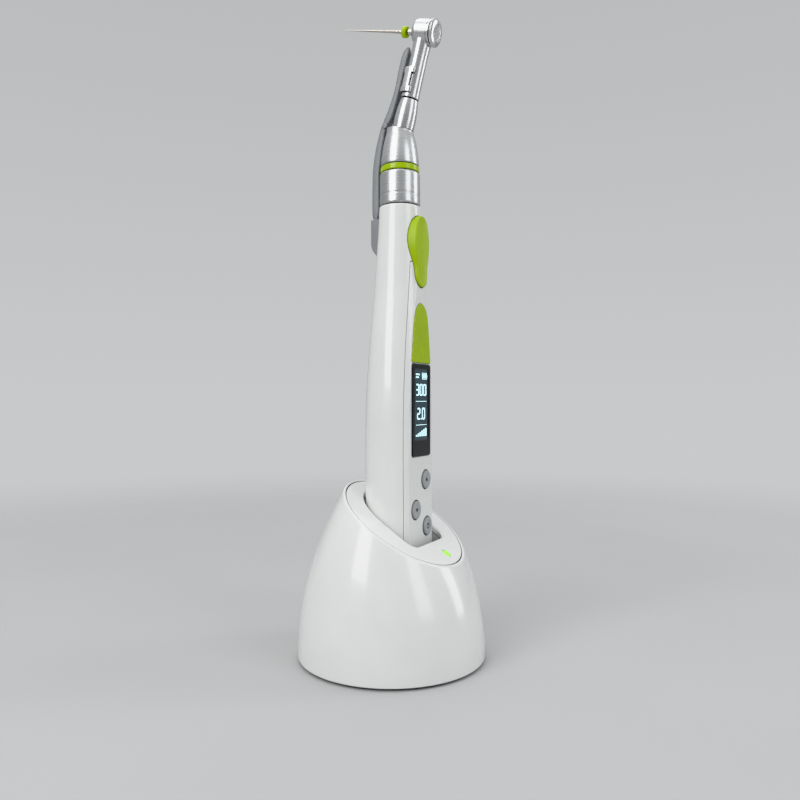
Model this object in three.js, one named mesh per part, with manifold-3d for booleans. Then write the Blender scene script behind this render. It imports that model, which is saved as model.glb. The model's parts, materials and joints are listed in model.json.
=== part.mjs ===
// Endodontic motor: a cordless motor handpiece with a contra-angle head and a root-canal file,
// standing in its charging base.
// Millimetres, +Z up. The origin is the centre of the base's footprint on the table.
// The display and the keys face -Y (front), and the file points to +Y (back). Left is -X.
import * as THREE from "three";
import { mergeVertices } from "three/addons/utils/BufferGeometryUtils.js";
import Module from "manifold-3d";

const wasm = await Module();
wasm.setup();
const { degToRad } = THREE.MathUtils;

// ---------- driving dimensions ----------
// charging base
const FOOT_R = 37.5; // radius of the round foot
const FOOT_Z = 1.0; // underside of the shell: the rubber feet stand 1 mm proud
const RIM_HALF_WIDTH = 27.45; // rim oval, across
const RIM_HALF_LENGTH = 27.64; // rim oval, up the slope
const RIM_Y = -6.0; // rim centre
const RIM_Z = 54.57;
const RIM_TILT = degToRad(33.25); // the top slopes up to the back
const BASE_WALL = 2.4;
const RIM_WALL = 1.0; // the shell's edge beside the top plate
const RIM_LEDGE = 1.35; // from the rim in to the top plate's edge
const PLATE_T = 2.2;
const BOSS_RING_R = 31.2; // the screw bosses stand on this circle
const FEET_RING_R = 28.5;
const JACK_Z = 13.4;
const LED_ACROSS = 1.9; // status light, in the sloping top's own frame
const LED_UP = -21.0;
// socket for the handpiece
const AXIS_Y = -3.8; // the handpiece's long axis in the base
const SOCKET_R = 14.35; // round back of the opening
const SOCKET_FLAT = -10.9; // flat of the seat that keys the handpiece
const MOUTH_FRONT = -13.5; // the opening's straight front edge
const MOUTH_CORNER = 4.0;
const MOUTH_LOW = 34.0; // the wider mouth starts here above the seat
const CUP_FLOOR = 19.2; // underside of the cradle cup's floor
const CUP_SEAT = 21.7; // top of that floor
const CUP_WALL = 1.45;
const CUP_INSET = 0.05; // the cup's bore stands in from the opening's edge
const CONTACT_X = 4.6; // charging contacts, either side of the axis
// handpiece, measured from its own axis
// round body: [radius, height]
const BODY = [
  [13.2, 22], [13.6, 30], [13.8, 64], [13.9, 79], [13.75, 100], [12.5, 121.4],
  [11.4, 134], [10.25, 147], [9.5, 158.6], [8.75, 170], [8.3, 180],
];
const [BOTTOM_R, HANDLE_BOTTOM] = BODY[0];
const HANDLE_TOP = BODY.at(-1)[1];
const HANDLE_WALL = 1.6;
const SHELL_LOW = 24.8; // lower edge of the shell and cover, above the end cap's rim
const FLAT_Y = -9.4; // the flat front
const SPLIT_Y = -7.5; // parting plane of the front cover
const COVER_TOP = 157.0;
const PANEL_Y = -9.75; // front of the display panel
const PANEL_BACK = -9.0;
const PANEL_HALF = 8.0;
const LCD_HALF = 6.1;
const LCD_LOW = 86.3;
const LCD_HIGH = 115.7;
const KEY_R = 3.6;
// name, x, z
const KEYS = [
  ["key_up", 4.3, 71.1],
  ["key_down", -4.3, 59.9],
  ["key_set", 5.5, 52.3],
];
const DRIVE_R = 6.5; // motor and gearbox
// contra-angle
const COUPLING_BORE = 6.35; // radius inside the sleeve, accent ring and cone
const BEND_Z = 206.5;
const LEAN = degToRad(15); // the neck leans towards -Y
const NECK = 42.9; // from the bend to the head's centre
const SPLIT_Z = 211.05; // the cone's sloping end, on the handpiece's axis
const SPLIT_TILT = degToRad(11);
const NECK_SPLIT = 17.0; // joint of the two neck tubes, past the bend
const NECK_BORE = 2.45;
const HEAD_R = 5.0;
const HEAD_HALF = 4.0; // the head reaches this far either way along the file's axis
const SHANK_R = 1.175; // the standard 2.35 mm latch shank
// gears
const BEND_TEETH = 10;
const BEND_GEAR_R = 2.6; // pitch radius of the pair at the bend
const BEND_FACE = BEND_GEAR_R * Math.tan(LEAN / 2) + 0.38; // tooth roots, from the bend
const PINION_TEETH = 8;
const PINION_R = 1.2;
const CROWN_TEETH = 21;
const CROWN_R = (PINION_R * CROWN_TEETH) / PINION_TEETH;
const CROWN_FACE = -1.62; // tooth roots, along the file's axis

// ---------- transforms and solids ----------
const FACET_SHARE = 0.6; // facets round a turned piece, as a share of the count it names
const QUARTER = Math.PI / 2;
const FAR = 200; // beyond every piece a block cuts
const AHEAD_Y = -20; // in front of the handpiece, where openings in its front start

const at = (x, y, z) => new THREE.Matrix4().makeTranslation(x, y, z);
const turnX = (angle) => new THREE.Matrix4().makeRotationX(angle);

// closed manifold from a geometry, turned the right way out
function solid(geometry, matrix) {
  const loose = geometry.index ? geometry.toNonIndexed() : geometry.clone();
  const bare = new THREE.BufferGeometry();
  bare.setAttribute("position", loose.getAttribute("position"));
  if (matrix) bare.applyMatrix4(matrix);
  const merged = mergeVertices(bare, 1e-4);
  const corners = merged.index.array;
  const triangles = [];
  for (let i = 0; i < corners.length; i += 3) {
    const [a, b, c] = [corners[i], corners[i + 1], corners[i + 2]];
    if (a !== b && b !== c && c !== a) triangles.push(a, b, c);
  }
  const build = () =>
    new wasm.Manifold(
      new wasm.Mesh({
        numProp: 3,
        vertProperties: new Float32Array(merged.attributes.position.array),
        triVerts: new Uint32Array(triangles),
      }),
    );
  const built = build();
  if (built.volume() >= 0) return built;
  for (let i = 0; i < triangles.length; i += 3)
    [triangles[i + 1], triangles[i + 2]] = [triangles[i + 2], triangles[i + 1]];
  return build();
}
function geometryOf(piece) {
  const mesh = piece.getMesh();
  const shared = new THREE.BufferGeometry();
  const points = new Float32Array(mesh.vertProperties);
  shared.setAttribute("position", new THREE.BufferAttribute(points, 3));
  shared.setIndex(new THREE.BufferAttribute(new Uint32Array(mesh.triVerts), 1));
  const flat = shared.toNonIndexed();
  flat.computeVertexNormals();
  return flat;
}
const join = (...pieces) => pieces.reduce((a, b) => a.add(b));
const cut = (piece, ...tools) => tools.reduce((a, b) => a.subtract(b), piece);
const moved = (piece, matrix) => solid(geometryOf(piece), matrix);
// copies of a piece at each [x, y]
const atEach = (spots, piece) => spots.map(([x, y]) => moved(piece, at(x, y, 0)));

// block between [low, high] limits; an axis left out runs past everything
const even = (half) => [-half, half];
function block({ x = even(FAR), y = even(FAR), z = even(FAR) }) {
  const limits = [x, y, z];
  const size = limits.map(([low, high]) => high - low);
  const middle = limits.map(([low, high]) => (low + high) / 2);
  return solid(new THREE.BoxGeometry(...size), at(...middle));
}
// body of revolution about Z; the profile is [radius, height] pairs
function turned(profile, fullFacets, closed = false) {
  const facets = Math.max(12, 2 * Math.round((fullFacets * FACET_SHARE) / 2));
  const points = profile.map(([radius, z]) => new THREE.Vector2(radius, z));
  if (closed) points.push(points[0].clone());
  return solid(new THREE.LatheGeometry(points, facets), turnX(QUARTER));
}
const disc = (radius, low, high, facets) =>
  turned([[0, low], [radius, low], [radius, high], [0, high]], facets);
const ring = (inner, outer, low, high, facets) =>
  turned([[inner, low], [outer, low], [outer, high], [inner, high]], facets, true);

const shapeOf = (outline) => new THREE.Shape(outline.map(([a, b]) => new THREE.Vector2(a, b)));
const extruded = (outline, depth, matrix) =>
  solid(new THREE.ExtrudeGeometry(shapeOf(outline), { depth, bevelEnabled: false }), matrix);
// outline [x, y] pushed along Z
const alongZ = (outline, low, high) => extruded(outline, high - low, at(0, 0, low));
// outline [x, z] pushed along Y
const alongY = (outline, low, high) =>
  extruded(outline, high - low, at(0, high, 0).multiply(turnX(QUARTER)));
// outline [y, z] pushed along X
function alongX(outline, low, high) {
  const axes = new THREE.Matrix4().makeBasis(
    new THREE.Vector3(0, 1, 0),
    new THREE.Vector3(0, 0, 1),
    new THREE.Vector3(1, 0, 0),
  );
  return extruded(outline, high - low, at(low, 0, 0).multiply(axes));
}

// ---------- outlines ----------
const polar = (radius, angle) => [radius * Math.cos(angle), radius * Math.sin(angle)];
// steps + 1 points round the centre (x, y)
const arc = (x, y, radius, from, to, steps) =>
  Array.from({ length: steps + 1 }, (_, i) => {
    const [across, up] = polar(radius, from + ((to - from) * i) / steps);
    return [x + across, y + up];
  });
const circle = (x, y, radius, count) => arc(x, y, radius, 0, 2 * Math.PI, count).slice(0, -1);
// circle about (0, middleY), cut off straight at y = middleY + flat
function flattened(radius, flat, middleY = 0) {
  const start = Math.asin(flat / radius);
  return arc(0, middleY, radius, start, Math.PI - start, 26);
}
// mouth of the socket, grown outwards: round back, straight sides, square front, round corners
function mouthOutline(growth) {
  const radius = SOCKET_R + growth;
  const corner = MOUTH_CORNER + growth;
  const cornerX = radius - corner;
  const cornerY = AXIS_Y + MOUTH_FRONT - growth + corner;
  return [
    ...arc(0, AXIS_Y, radius, 0, Math.PI, 18),
    ...arc(-cornerX, cornerY, corner, Math.PI, 3 * QUARTER, 5),
    ...arc(cornerX, cornerY, corner, 3 * QUARTER, 4 * QUARTER, 5),
  ];
}
function roundRect(left, right, low, high, radius) {
  const centres = [
    [right - radius, high - radius],
    [left + radius, high - radius],
    [left + radius, low + radius],
    [right - radius, low + radius],
  ];
  return centres.flatMap(([x, z], i) => arc(x, z, radius, i * QUARTER, (i + 1) * QUARTER, 4));
}
// a counter-clockwise closed outline moved outwards
const grown = (outline, distance) =>
  outline.map(([x, y], i) => {
    const before = outline.at(i - 1);
    const after = outline[(i + 1) % outline.length];
    const runX = after[0] - before[0];
    const runY = after[1] - before[1];
    const run = Math.hypot(runX, runY) || 1;
    return [x + (distance * runY) / run, y - (distance * runX) / run];
  });
// a right half closed by its mirror image, which leaves out the last point and `skipped` first ones
const mirrored = (half, skipped) => [
  ...half,
  ...half.slice(skipped, -1).reverse().map(([x, z]) => [-x, z]),
];
const spline = (points, steps) =>
  new THREE.CatmullRomCurve3(
    points.map(([a, b]) => new THREE.Vector3(a, b, 0)),
    false,
    "centripetal",
  ).getPoints(steps).map(({ x, y }) => [x, y]);

// ---------- materials and scene graph ----------
const PLASTIC = { color: 0xf3f4f1, roughness: 0.32, metalness: 0.0 };
const LIME = { color: 0xa8c800, roughness: 0.35, metalness: 0.0 };
const STEEL = { color: 0xc9ccce, roughness: 0.25, metalness: 1.0 };
const DARK = { color: 0x15181b, roughness: 0.12, metalness: 0.0 };
const RUBBER = { color: 0x2a2c2e, roughness: 0.8, metalness: 0.0 };
const BRASS = { color: 0xd2b060, roughness: 0.3, metalness: 1.0 };
const BOARD = { color: 0x1d5a33, roughness: 0.5, metalness: 0.0 };
const CELL = { color: 0x3b6fa8, roughness: 0.45, metalness: 0.0 };
const IRON = { color: 0x6f7478, roughness: 0.55, metalness: 0.9 };
const GREY = { color: 0xb9bdbf, roughness: 0.45, metalness: 0.0 };

function add(parent, name, piece, look, position = [0, 0, 0]) {
  const mesh = new THREE.Mesh(geometryOf(piece), new THREE.MeshStandardMaterial(look));
  mesh.name = name;
  mesh.position.set(...position);
  parent.add(mesh);
}
const root = new THREE.Group();

// ================= charging base =================
const base = new THREE.Group();
root.add(base);
// the sloping top's own frame: x across, y up the slope, z out of the plane
const slope = at(0, RIM_Y, RIM_Z).multiply(turnX(RIM_TILT));
const ledPlace = slope.clone().multiply(at(LED_ACROSS, LED_UP, 0));
const BOSSES = arc(0, 0, BOSS_RING_R, degToRad(45), degToRad(315), 3);
const FEET = circle(0, 0, FEET_RING_R, 4);
const CONTACTS = [["left", -CONTACT_X], ["right", CONTACT_X]];

// solid skirt: a straight-sided start at the round foot that closes in to the sloping rim
function skirt({ foot, halfWidth, halfLength, low, over, steps }) {
  const geometry = new THREE.CylinderGeometry(1, 1, 1, 44, steps);
  const points = geometry.getAttribute("position");
  for (let i = 0; i < points.count; i++) {
    // (x, y) lies on the unit circle, or at 0, 0 in the middle of a cap
    const x = points.getX(i);
    const y = -points.getZ(i);
    const rise = points.getY(i) + 0.5;
    const blend = rise * rise;
    const top = RIM_Z + RIM_HALF_LENGTH * Math.sin(RIM_TILT) * y + over;
    points.setXYZ(
      i,
      (1 - blend) * foot * x + blend * halfWidth * x,
      (1 - blend) * foot * y + blend * (RIM_Y + halfLength * Math.cos(RIM_TILT) * y),
      low + rise * (top - low),
    );
  }
  return solid(geometry);
}
function baseShell() {
  const overrun = 0.6; // the hollow runs out past both ends
  const outer = skirt({
    foot: FOOT_R,
    halfWidth: RIM_HALF_WIDTH,
    halfLength: RIM_HALF_LENGTH,
    low: FOOT_Z,
    over: 0,
    steps: 7,
  });
  const hollow = skirt({
    foot: FOOT_R - BASE_WALL,
    halfWidth: RIM_HALF_WIDTH - RIM_WALL,
    halfLength: RIM_HALF_LENGTH - RIM_WALL,
    low: FOOT_Z - overrun,
    over: overrun,
    steps: 4,
  });
  const posts = atEach(BOSSES, disc(3.6, 3.6, 15.0, 20)).map((post) => post.intersect(outer));
  const screwHoles = atEach(BOSSES, disc(1.45, 3.0, 12.0, 16));
  const jackHole = moved(disc(4.3, 0, 20, 24), at(0, 45, JACK_Z).multiply(turnX(QUARTER)));
  return cut(join(cut(outer, hollow), ...posts), ...screwHoles, jackHole);
}
add(base, "base_shell", baseShell(), PLASTIC);

// top plate, let into the rim
function topPlate() {
  const oval = circle(0, 0, 1, 44).map(([x, y]) => [
    (RIM_HALF_WIDTH - RIM_LEDGE) * x,
    (RIM_HALF_LENGTH - RIM_LEDGE) * y,
  ]);
  return cut(
    moved(alongZ(oval, -PLATE_T, 0), slope),
    alongZ(mouthOutline(0), 20, 90),
    moved(disc(2.0, -10, 10, 24), ledPlace),
  );
}
add(base, "base_top_plate", topPlate(), PLASTIC);

// cradle cup hanging under the plate, with a hole for each contact pin
function cradleCup() {
  const cupHigh = 90; // above the plate, before the slope trims it
  const cutHigh = 95;
  const abovePlateUnderside = moved(block({ z: [-PLATE_T - 0.3, FAR] }), slope);
  const pinSpots = CONTACTS.map(([, x]) => [x, AXIS_Y]);
  return cut(
    alongZ(mouthOutline(CUP_WALL), CUP_FLOOR, cupHigh),
    alongZ(mouthOutline(-CUP_INSET), MOUTH_LOW, cutHigh),
    alongZ(flattened(SOCKET_R - CUP_INSET, SOCKET_FLAT, AXIS_Y), CUP_SEAT, cutHigh),
    abovePlateUnderside,
    ...atEach(pinSpots, disc(1.25, 10, 30, 20)),
  );
}
add(base, "cradle_cup", cradleCup(), GREY);

// bottom plate with countersunk screw holes
const bottomPlate = cut(
  disc(FOOT_R - BASE_WALL - 0.5, 1.3, 3.2, 64),
  ...atEach(BOSSES, disc(1.6, 0, 6, 16)),
  ...atEach(BOSSES, disc(3.1, 0, 2.4, 24)),
);
add(base, "base_bottom_plate", bottomPlate, PLASTIC);

const rubberFoot = turned([[0, 0], [3.9, 0], [4.6, 0.5], [4.6, 1.2], [0, 1.2]], 24);
FEET.forEach(([x, y], i) => add(base, `rubber_foot_${i + 1}`, rubberFoot, RUBBER, [x, y, 0]));

// cross-slotted screw, head down
const SCREW_PROFILE = [
  [0, 0.9], [2.7, 0.9], [2.7, 2.3], [1.35, 2.3], [1.35, 9.5], [0.5, 10.6], [0, 10.6],
];
const slotLong = even(1.9);
const slotWide = even(0.35);
const screw = cut(
  turned(SCREW_PROFILE, 20),
  block({ x: slotLong, y: slotWide, z: [0, 1.5] }),
  block({ x: slotWide, y: slotLong, z: [0, 1.5] }),
);
BOSSES.forEach(([x, y], i) => add(base, `base_screw_${i + 1}`, screw, STEEL, [x, y, 0]));

add(base, "base_ballast", ring(12, 26.5, 3.6, 6.4, 40), IRON);
// round board with a straight front edge
const chargerBoard = cut(disc(26.8, 7.4, 9.0, 40), block({ y: [-FAR, -24] }));
add(base, "charger_board", chargerBoard, BOARD);

// round DC jack at the board's rear edge, its barrel opening to +Y
function powerJack() {
  const mouth = at(0, 36.4, JACK_Z).multiply(turnX(QUARTER));
  const barrel = moved(disc(3.9, 0, 9, 28), mouth);
  const housing = block({ x: even(4.6), y: [21.5, 31.6], z: [9.3, JACK_Z + 4.6] });
  return cut(join(barrel, housing), moved(disc(2.7, -1, 12, 24), mouth));
}
add(base, "power_jack", powerJack(), RUBBER);

const LENS_PROFILE = [[0, -4.5], [1.7, -4.5], [1.7, -0.3], [1.2, 0.15], [0, 0.3]];
add(base, "status_led_lens", moved(turned(LENS_PROFILE, 24), ledPlace), LIME);

// sprung charging pins
const PIN_PROFILE = [
  [0, 9.6], [0.9, 9.6], [0.9, 16.2], [1.9, 16.2], [1.9, 17.4],
  [1.05, 17.4], [1.05, 21.4], [0.6, 21.85], [0, 21.85],
];
function pinSpring() {
  const coilRadius = 1.45;
  const wireRadius = 0.2;
  const coils = 4;
  const bottom = 9.5;
  const height = 6.0;
  const segments = 36;
  const helix = Array.from({ length: segments + 1 }, (_, i) => {
    const share = i / segments;
    const [x, y] = polar(coilRadius, share * 2 * Math.PI * coils);
    return new THREE.Vector3(x, y, bottom + share * height);
  });
  return solid(
    new THREE.ExtrudeGeometry(shapeOf(circle(0, 0, wireRadius, 5)), {
      steps: 32,
      bevelEnabled: false,
      extrudePath: new THREE.CatmullRomCurve3(helix),
    }),
  );
}
for (const [side, x] of CONTACTS) {
  add(base, `contact_pin_${side}`, turned(PIN_PROFILE, 20), BRASS, [x, AXIS_Y, 0]);
  add(base, `pin_spring_${side}`, pinSpring(), STEEL, [x, AXIS_Y, 0]);
}

// ================= handpiece =================
const handpiece = new THREE.Group();
handpiece.position.set(0, AXIS_Y, 0);
root.add(handpiece);

const bodyCurve = spline(BODY, 11);
const bodyOuter = cut(
  turned([[0, HANDLE_BOTTOM], ...bodyCurve, [0, HANDLE_TOP]], 56),
  block({ y: [-FAR, FLAT_Y] }),
);
// the hollow: open at the bottom, closing to a round bore at the top
function bodyHollow() {
  const low = 15;
  const ceiling = 173.6;
  const boreRadius = 6.2;
  const boreTop = 185;
  const wall = bodyCurve
    .map(([radius, z]) => [radius - HANDLE_WALL, z])
    .filter(([, z]) => z < ceiling);
  const profile = [
    [0, low],
    [wall[0][0], low],
    ...wall,
    [wall.at(-1)[0], ceiling],
    [boreRadius, ceiling + 0.2],
    [boreRadius, boreTop],
    [0, boreTop],
  ];
  return turned(profile, 44);
}

// right half of the switch pad, top to bottom: [x, z]
const PAD_HALF = [
  [0, 175.6], [2.2, 175.1], [4.0, 173.4], [5.2, 170.6], [5.85, 167.2], [6.0, 164.4],
  [5.75, 161.4], [5.2, 158.6], [4.6, 156.4], [4.3, 154.4], [4.25, 152.2], [3.9, 150.0],
  [2.8, 148.4], [0, 147.5],
];
const padOutline = mirrored(spline(PAD_HALF, 14).reverse(), 1);
const padHole = alongY(grown(padOutline, 0.35), AHEAD_Y, -3.6);

const handleShell = cut(
  bodyOuter,
  bodyHollow(),
  block({ y: [-FAR, SPLIT_Y], z: [-FAR, COVER_TOP + 0.2] }),
  block({ z: [-FAR, SHELL_LOW] }),
  padHole,
  block({ x: even(3.0), y: [6, 20], z: [160.3, 176.5] }), // opening for the electrode socket
);
add(handpiece, "handle_shell", handleShell, PLASTIC);

// the trim fills the flat's arched end; right half, bottom to top: [x, z]
const TRIM_HALF = [
  [PANEL_HALF, 117.6], [7.75, 120.0], [7.2, 125.0], [6.55, 130.0], [5.85, 134.0],
  [4.95, 137.0], [3.5, 139.3], [1.8, 140.6], [0, 141.0],
];
const trimOutline = mirrored(TRIM_HALF, 0);
const windowOutline = roundRect(-PANEL_HALF, PANEL_HALF, 80.7, 117.0, 1.0);

// solid front cover with panel recesses and openings for the display, keys and pad
function frontCover() {
  const recess = (outline) => alongY(grown(outline, 0.15), AHEAD_Y, PANEL_BACK + 0.1);
  const lcdOpening = block({
    x: even(LCD_HALF + 0.2),
    y: [AHEAD_Y, 0],
    z: [LCD_LOW - 0.3, LCD_HIGH + 0.3],
  });
  return cut(
    bodyOuter.intersect(block({ y: [-FAR, SPLIT_Y - 0.15], z: [SHELL_LOW, COVER_TOP] })),
    recess(windowOutline),
    recess(trimOutline),
    lcdOpening,
    padHole,
    ...KEYS.map(([, x, z]) => alongY(circle(x, z, KEY_R + 0.3, 20), AHEAD_Y, 0)),
  );
}
add(handpiece, "front_cover", frontCover(), PLASTIC);
add(handpiece, "panel_trim", alongY(trimOutline, PANEL_Y, PANEL_BACK), LIME);
add(handpiece, "display_window", alongY(windowOutline, PANEL_Y, PANEL_BACK), DARK);
const lcdModule = block({ x: even(LCD_HALF), y: [-8.7, -6.6], z: [LCD_LOW, LCD_HIGH] });
add(handpiece, "lcd_module", lcdModule, DARK);
const mainBoard = block({ x: even(7.0), y: [-6.2, -5.2], z: [44.0, 121.8] });
add(handpiece, "main_board", mainBoard, BOARD);
// the pad's back is hollowed round the motor and gearbox
const mainSwitch = cut(alongY(padOutline, -10.3, -4.9), disc(7.25, 140, 190, 40));
add(handpiece, "main_switch", mainSwitch, LIME);

const KEY_PROFILE = [[0, 6.9], [KEY_R, 6.9], [KEY_R, 9.7], [KEY_R - 0.4, 10.1], [0, 10.1]];
const keyCap = moved(turned(KEY_PROFILE, 28), turnX(QUARTER));
for (const [name, x, z] of KEYS) add(handpiece, name, keyCap, GREY, [x, 0, z]);

const BATTERY_PROFILE = [
  [0, 38], [2.6, 38], [2.6, 39.2], [7.1, 39.2], [7.1, 89], [6.6, 89.4], [0, 89.4],
];
add(handpiece, "battery_cell", turned(BATTERY_PROFILE, 32), CELL, [0, 3.4, 0]);

// end cap, recessed for the two charge contacts
const contactSpots = CONTACTS.map(([, x]) => [x, 0]);
const endCap = cut(
  join(
    alongZ(flattened(BOTTOM_R, FLAT_Y), HANDLE_BOTTOM, 24.5),
    alongZ(flattened(11.4, -7.1), 24.4, 27.5),
  ),
  ...atEach(contactSpots, disc(2.3, 10, HANDLE_BOTTOM + 1.0, 24)),
);
add(handpiece, "end_cap", endCap, GREY);
const contact = disc(2.0, HANDLE_BOTTOM, HANDLE_BOTTOM + 0.8, 24);
for (const [side, x] of CONTACTS)
  add(handpiece, `charge_contact_${side}`, contact, BRASS, [x, 0, 0]);

// drive line, bottom to top
const motor = join(disc(DRIVE_R, 125, 152.6, 36), disc(2.4, 122.6, 125.2, 24));
add(handpiece, "drive_motor", motor, STEEL);
const gearbox = cut(
  join(disc(DRIVE_R, 153.2, 167.8, 36), disc(4.2, 167.6, 168.8, 24)),
  disc(1.7, 160, 175, 20),
);
add(handpiece, "reduction_gearbox", gearbox, IRON);
add(handpiece, "shaft_bearing", ring(1.65, 5.6, 169.2, 170.9, 28), STEEL);

// flanged tube with a groove for the O-ring
const NOSE_PROFILE = [
  [4.4, 171.2], [6.5, 171.2], [6.5, 173.3], [6.0, 173.5], [6.0, 187.6], [5.5, 187.6],
  [5.5, 189.2], [6.0, 189.2], [6.0, 198.6], [5.6, 199.3], [4.4, 199.3],
];
add(handpiece, "coupling_nose", turned(NOSE_PROFILE, 36, true), STEEL);
const oRing = solid(new THREE.TorusGeometry(5.85, 0.3, 5, 22), at(0, 0, 188.4));
add(handpiece, "nose_o_ring", oRing, RUBBER);

// rear socket that takes the electrode arm's plug: [y, z]
const SOCKET_OUTLINE = [[7.9, 160.6], [9.4, 160.6], [12.1, 164.2], [12.1, 176.2], [7.9, 176.2]];
const electrodeSocket = cut(
  alongX(SOCKET_OUTLINE, -2.7, 2.7),
  block({ x: even(2.1), y: [9.2, 11.3], z: [168.3, 180] }),
);
add(handpiece, "electrode_socket", electrodeSocket, GREY);

// drive shaft with a flat tongue at its end
const driveShaft = join(
  disc(1.5, 162, 190.0, 24),
  block({ x: even(0.9), y: even(0.45), z: [189.8, 194.0] }),
);
add(handpiece, "drive_shaft", driveShaft, STEEL);

// ================= contra-angle =================
const contra = new THREE.Group();
handpiece.add(contra);
const SLEEVE_PROFILE = [
  [COUPLING_BORE, 180.4], [7.9, 180.4], [8.15, 180.9],
  [8.05, 193.2], [7.8, 193.5], [COUPLING_BORE, 193.5],
];
add(contra, "coupling_sleeve", turned(SLEEVE_PROFILE, 40, true), STEEL);
add(contra, "accent_ring", ring(COUPLING_BORE, 7.85, 193.8, 196.1, 40), LIME);

// frames in the handpiece: the leaning neck, and the cone's sloping end
const lean = at(0, 0, BEND_Z).multiply(turnX(LEAN));
const split = at(0, 0, SPLIT_Z).multiply(turnX(SPLIT_TILT));
const CONE_PROFILE = [
  [COUPLING_BORE, 196.4], [7.6, 196.4], [7.65, 196.8], [7.5, 199.5], [6.95, 203.5],
  [6.25, 207.0], [5.6, 209.5], [5.3, 212.5], [0, 212.5], [0, 209.6], [3.9, 209.6],
  [3.9, 204.4], [3.5, 204.4], [3.5, 201.4], [COUPLING_BORE, 200.2],
];
const lowerCone = cut(
  turned(CONE_PROFILE, 40, true),
  moved(block({ z: [0, FAR] }), split),
  moved(disc(NECK_BORE, 0, 20, 32), lean),
);
add(contra, "lower_cone", lowerCone, STEEL);

// beyond the bend: local z runs up the neck, local y is the file's way out
const neck = new THREE.Group();
neck.position.set(0, 0, BEND_Z);
neck.rotation.set(LEAN, 0, 0);
contra.add(neck);

const MIDDLE_PROFILE = [
  [NECK_BORE, 3.0], [4.25, 3.0], [4.3, 4.5], [4.38, 8.0], [4.25, 11.5], [3.9, 14.3],
  [3.45, NECK_SPLIT - 0.3], [NECK_BORE, NECK_SPLIT - 0.3],
];
const middleNeck = cut(
  turned(MIDDLE_PROFILE, 40, true),
  moved(block({ z: [-FAR, 0.3] }), lean.clone().invert().multiply(split)),
);
add(neck, "middle_neck", middleNeck, STEEL);

// neck tube and hollow head in one piece
const UPPER_PROFILE = [
  [0, NECK_SPLIT], [3.7, NECK_SPLIT], [3.6, 19], [3.5, 27], [3.45, 33], [3.6, 37],
  [3.75, 39], [3.75, NECK], [0, NECK],
];
const HEAD_PROFILE = [
  [0, -HEAD_HALF], [HEAD_R, -HEAD_HALF], [HEAD_R, 2.9], [4.1, HEAD_HALF], [0, HEAD_HALF],
];
function upperNeckHead() {
  // carries a turned piece's z onto the file's axis
  const headPlace = at(0, 0, NECK).multiply(turnX(-QUARTER));
  return cut(
    join(turned(UPPER_PROFILE, 40), moved(turned(HEAD_PROFILE, 44), headPlace)),
    moved(disc(4.35, -10, 3.0, 36), headPlace),
    moved(disc(2.3, -10, 10, 28), headPlace),
    disc(NECK_BORE, 5, NECK - 2, 28),
  );
}
add(neck, "upper_neck_head", upperNeckHead(), STEEL);

// disc gear with radial teeth of trapezium section standing up from z = face
function crownGear({ teeth, radius, low, face, facets, inner, outer, width, height, start }) {
  const half = width / 2;
  const tip = width * 0.26;
  const section = [
    [-half, face - 0.3], [half, face - 0.3], [half, face],
    [tip, face + height], [-tip, face + height], [-half, face],
  ];
  const tooth = alongX(section, inner, outer);
  const turnTo = (angle) => new THREE.Matrix4().makeRotationZ(angle);
  let gear = disc(radius, low, face, facets);
  for (let i = 0; i < teeth; i++)
    gear = join(gear, moved(tooth, turnTo(start + (i * 2 * Math.PI) / teeth)));
  return gear;
}
// one of the two like gears that mesh at the bend
const bendGear = (face) =>
  crownGear({
    teeth: BEND_TEETH,
    radius: 3.05,
    low: face - 1.2,
    face,
    facets: 36,
    inner: 1.9,
    outer: 3.05,
    width: 0.62,
    height: 0.6,
    start: (0.25 * 2 * Math.PI) / BEND_TEETH,
  });

// input shaft: slotted cup over the drive shaft's tongue, shaft, gear
const inputFace = BEND_Z - BEND_FACE;
const inputShaft = join(
  cut(
    disc(2.7, 190.6, 196.4, 28),
    block({ x: even(1.2), y: even(0.75), z: [190, 194.6] }),
  ),
  disc(1.5, 196.0, inputFace - 0.9, 24),
  bendGear(inputFace),
);
add(contra, "input_shaft", inputShaft, STEEL);
add(contra, "input_bearing", ring(1.6, 3.3, 201.6, 204.2, 28), STEEL);

// pinion tooth: [radius, offset as a share of the tooth pitch]
const PINION_TOOTH = [[0.86, -0.27], [1.42, -0.11], [1.42, 0.11], [0.86, 0.27]];
const pinionPitch = (2 * Math.PI) / PINION_TEETH;
const pinionOutline = Array.from({ length: PINION_TEETH }, (_, i) =>
  PINION_TOOTH.map(([radius, offset]) => polar(radius, (i + offset) * pinionPitch)),
).flat();
// neck shaft: gear turned down to the bend, shaft, pinion under the head's crown gear
const pinionTop = NECK - CROWN_R;
const neckShaft = join(
  moved(bendGear(-BEND_FACE), turnX(Math.PI)),
  disc(1.1, BEND_FACE + 1.0, pinionTop - 0.9, 24),
  alongZ(pinionOutline, pinionTop - 1.0, pinionTop + 0.75),
);
add(neck, "neck_shaft", neckShaft, STEEL);
add(neck, "neck_bearing", ring(1.2, 2.3, 24.0, 27.0, 28), STEEL);

// head: local z is the file's axis, pointing out to its tip
const headGroup = new THREE.Group();
headGroup.position.set(0, 0, NECK);
headGroup.rotation.set(-QUARTER, 0, 0);
neck.add(headGroup);

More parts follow.
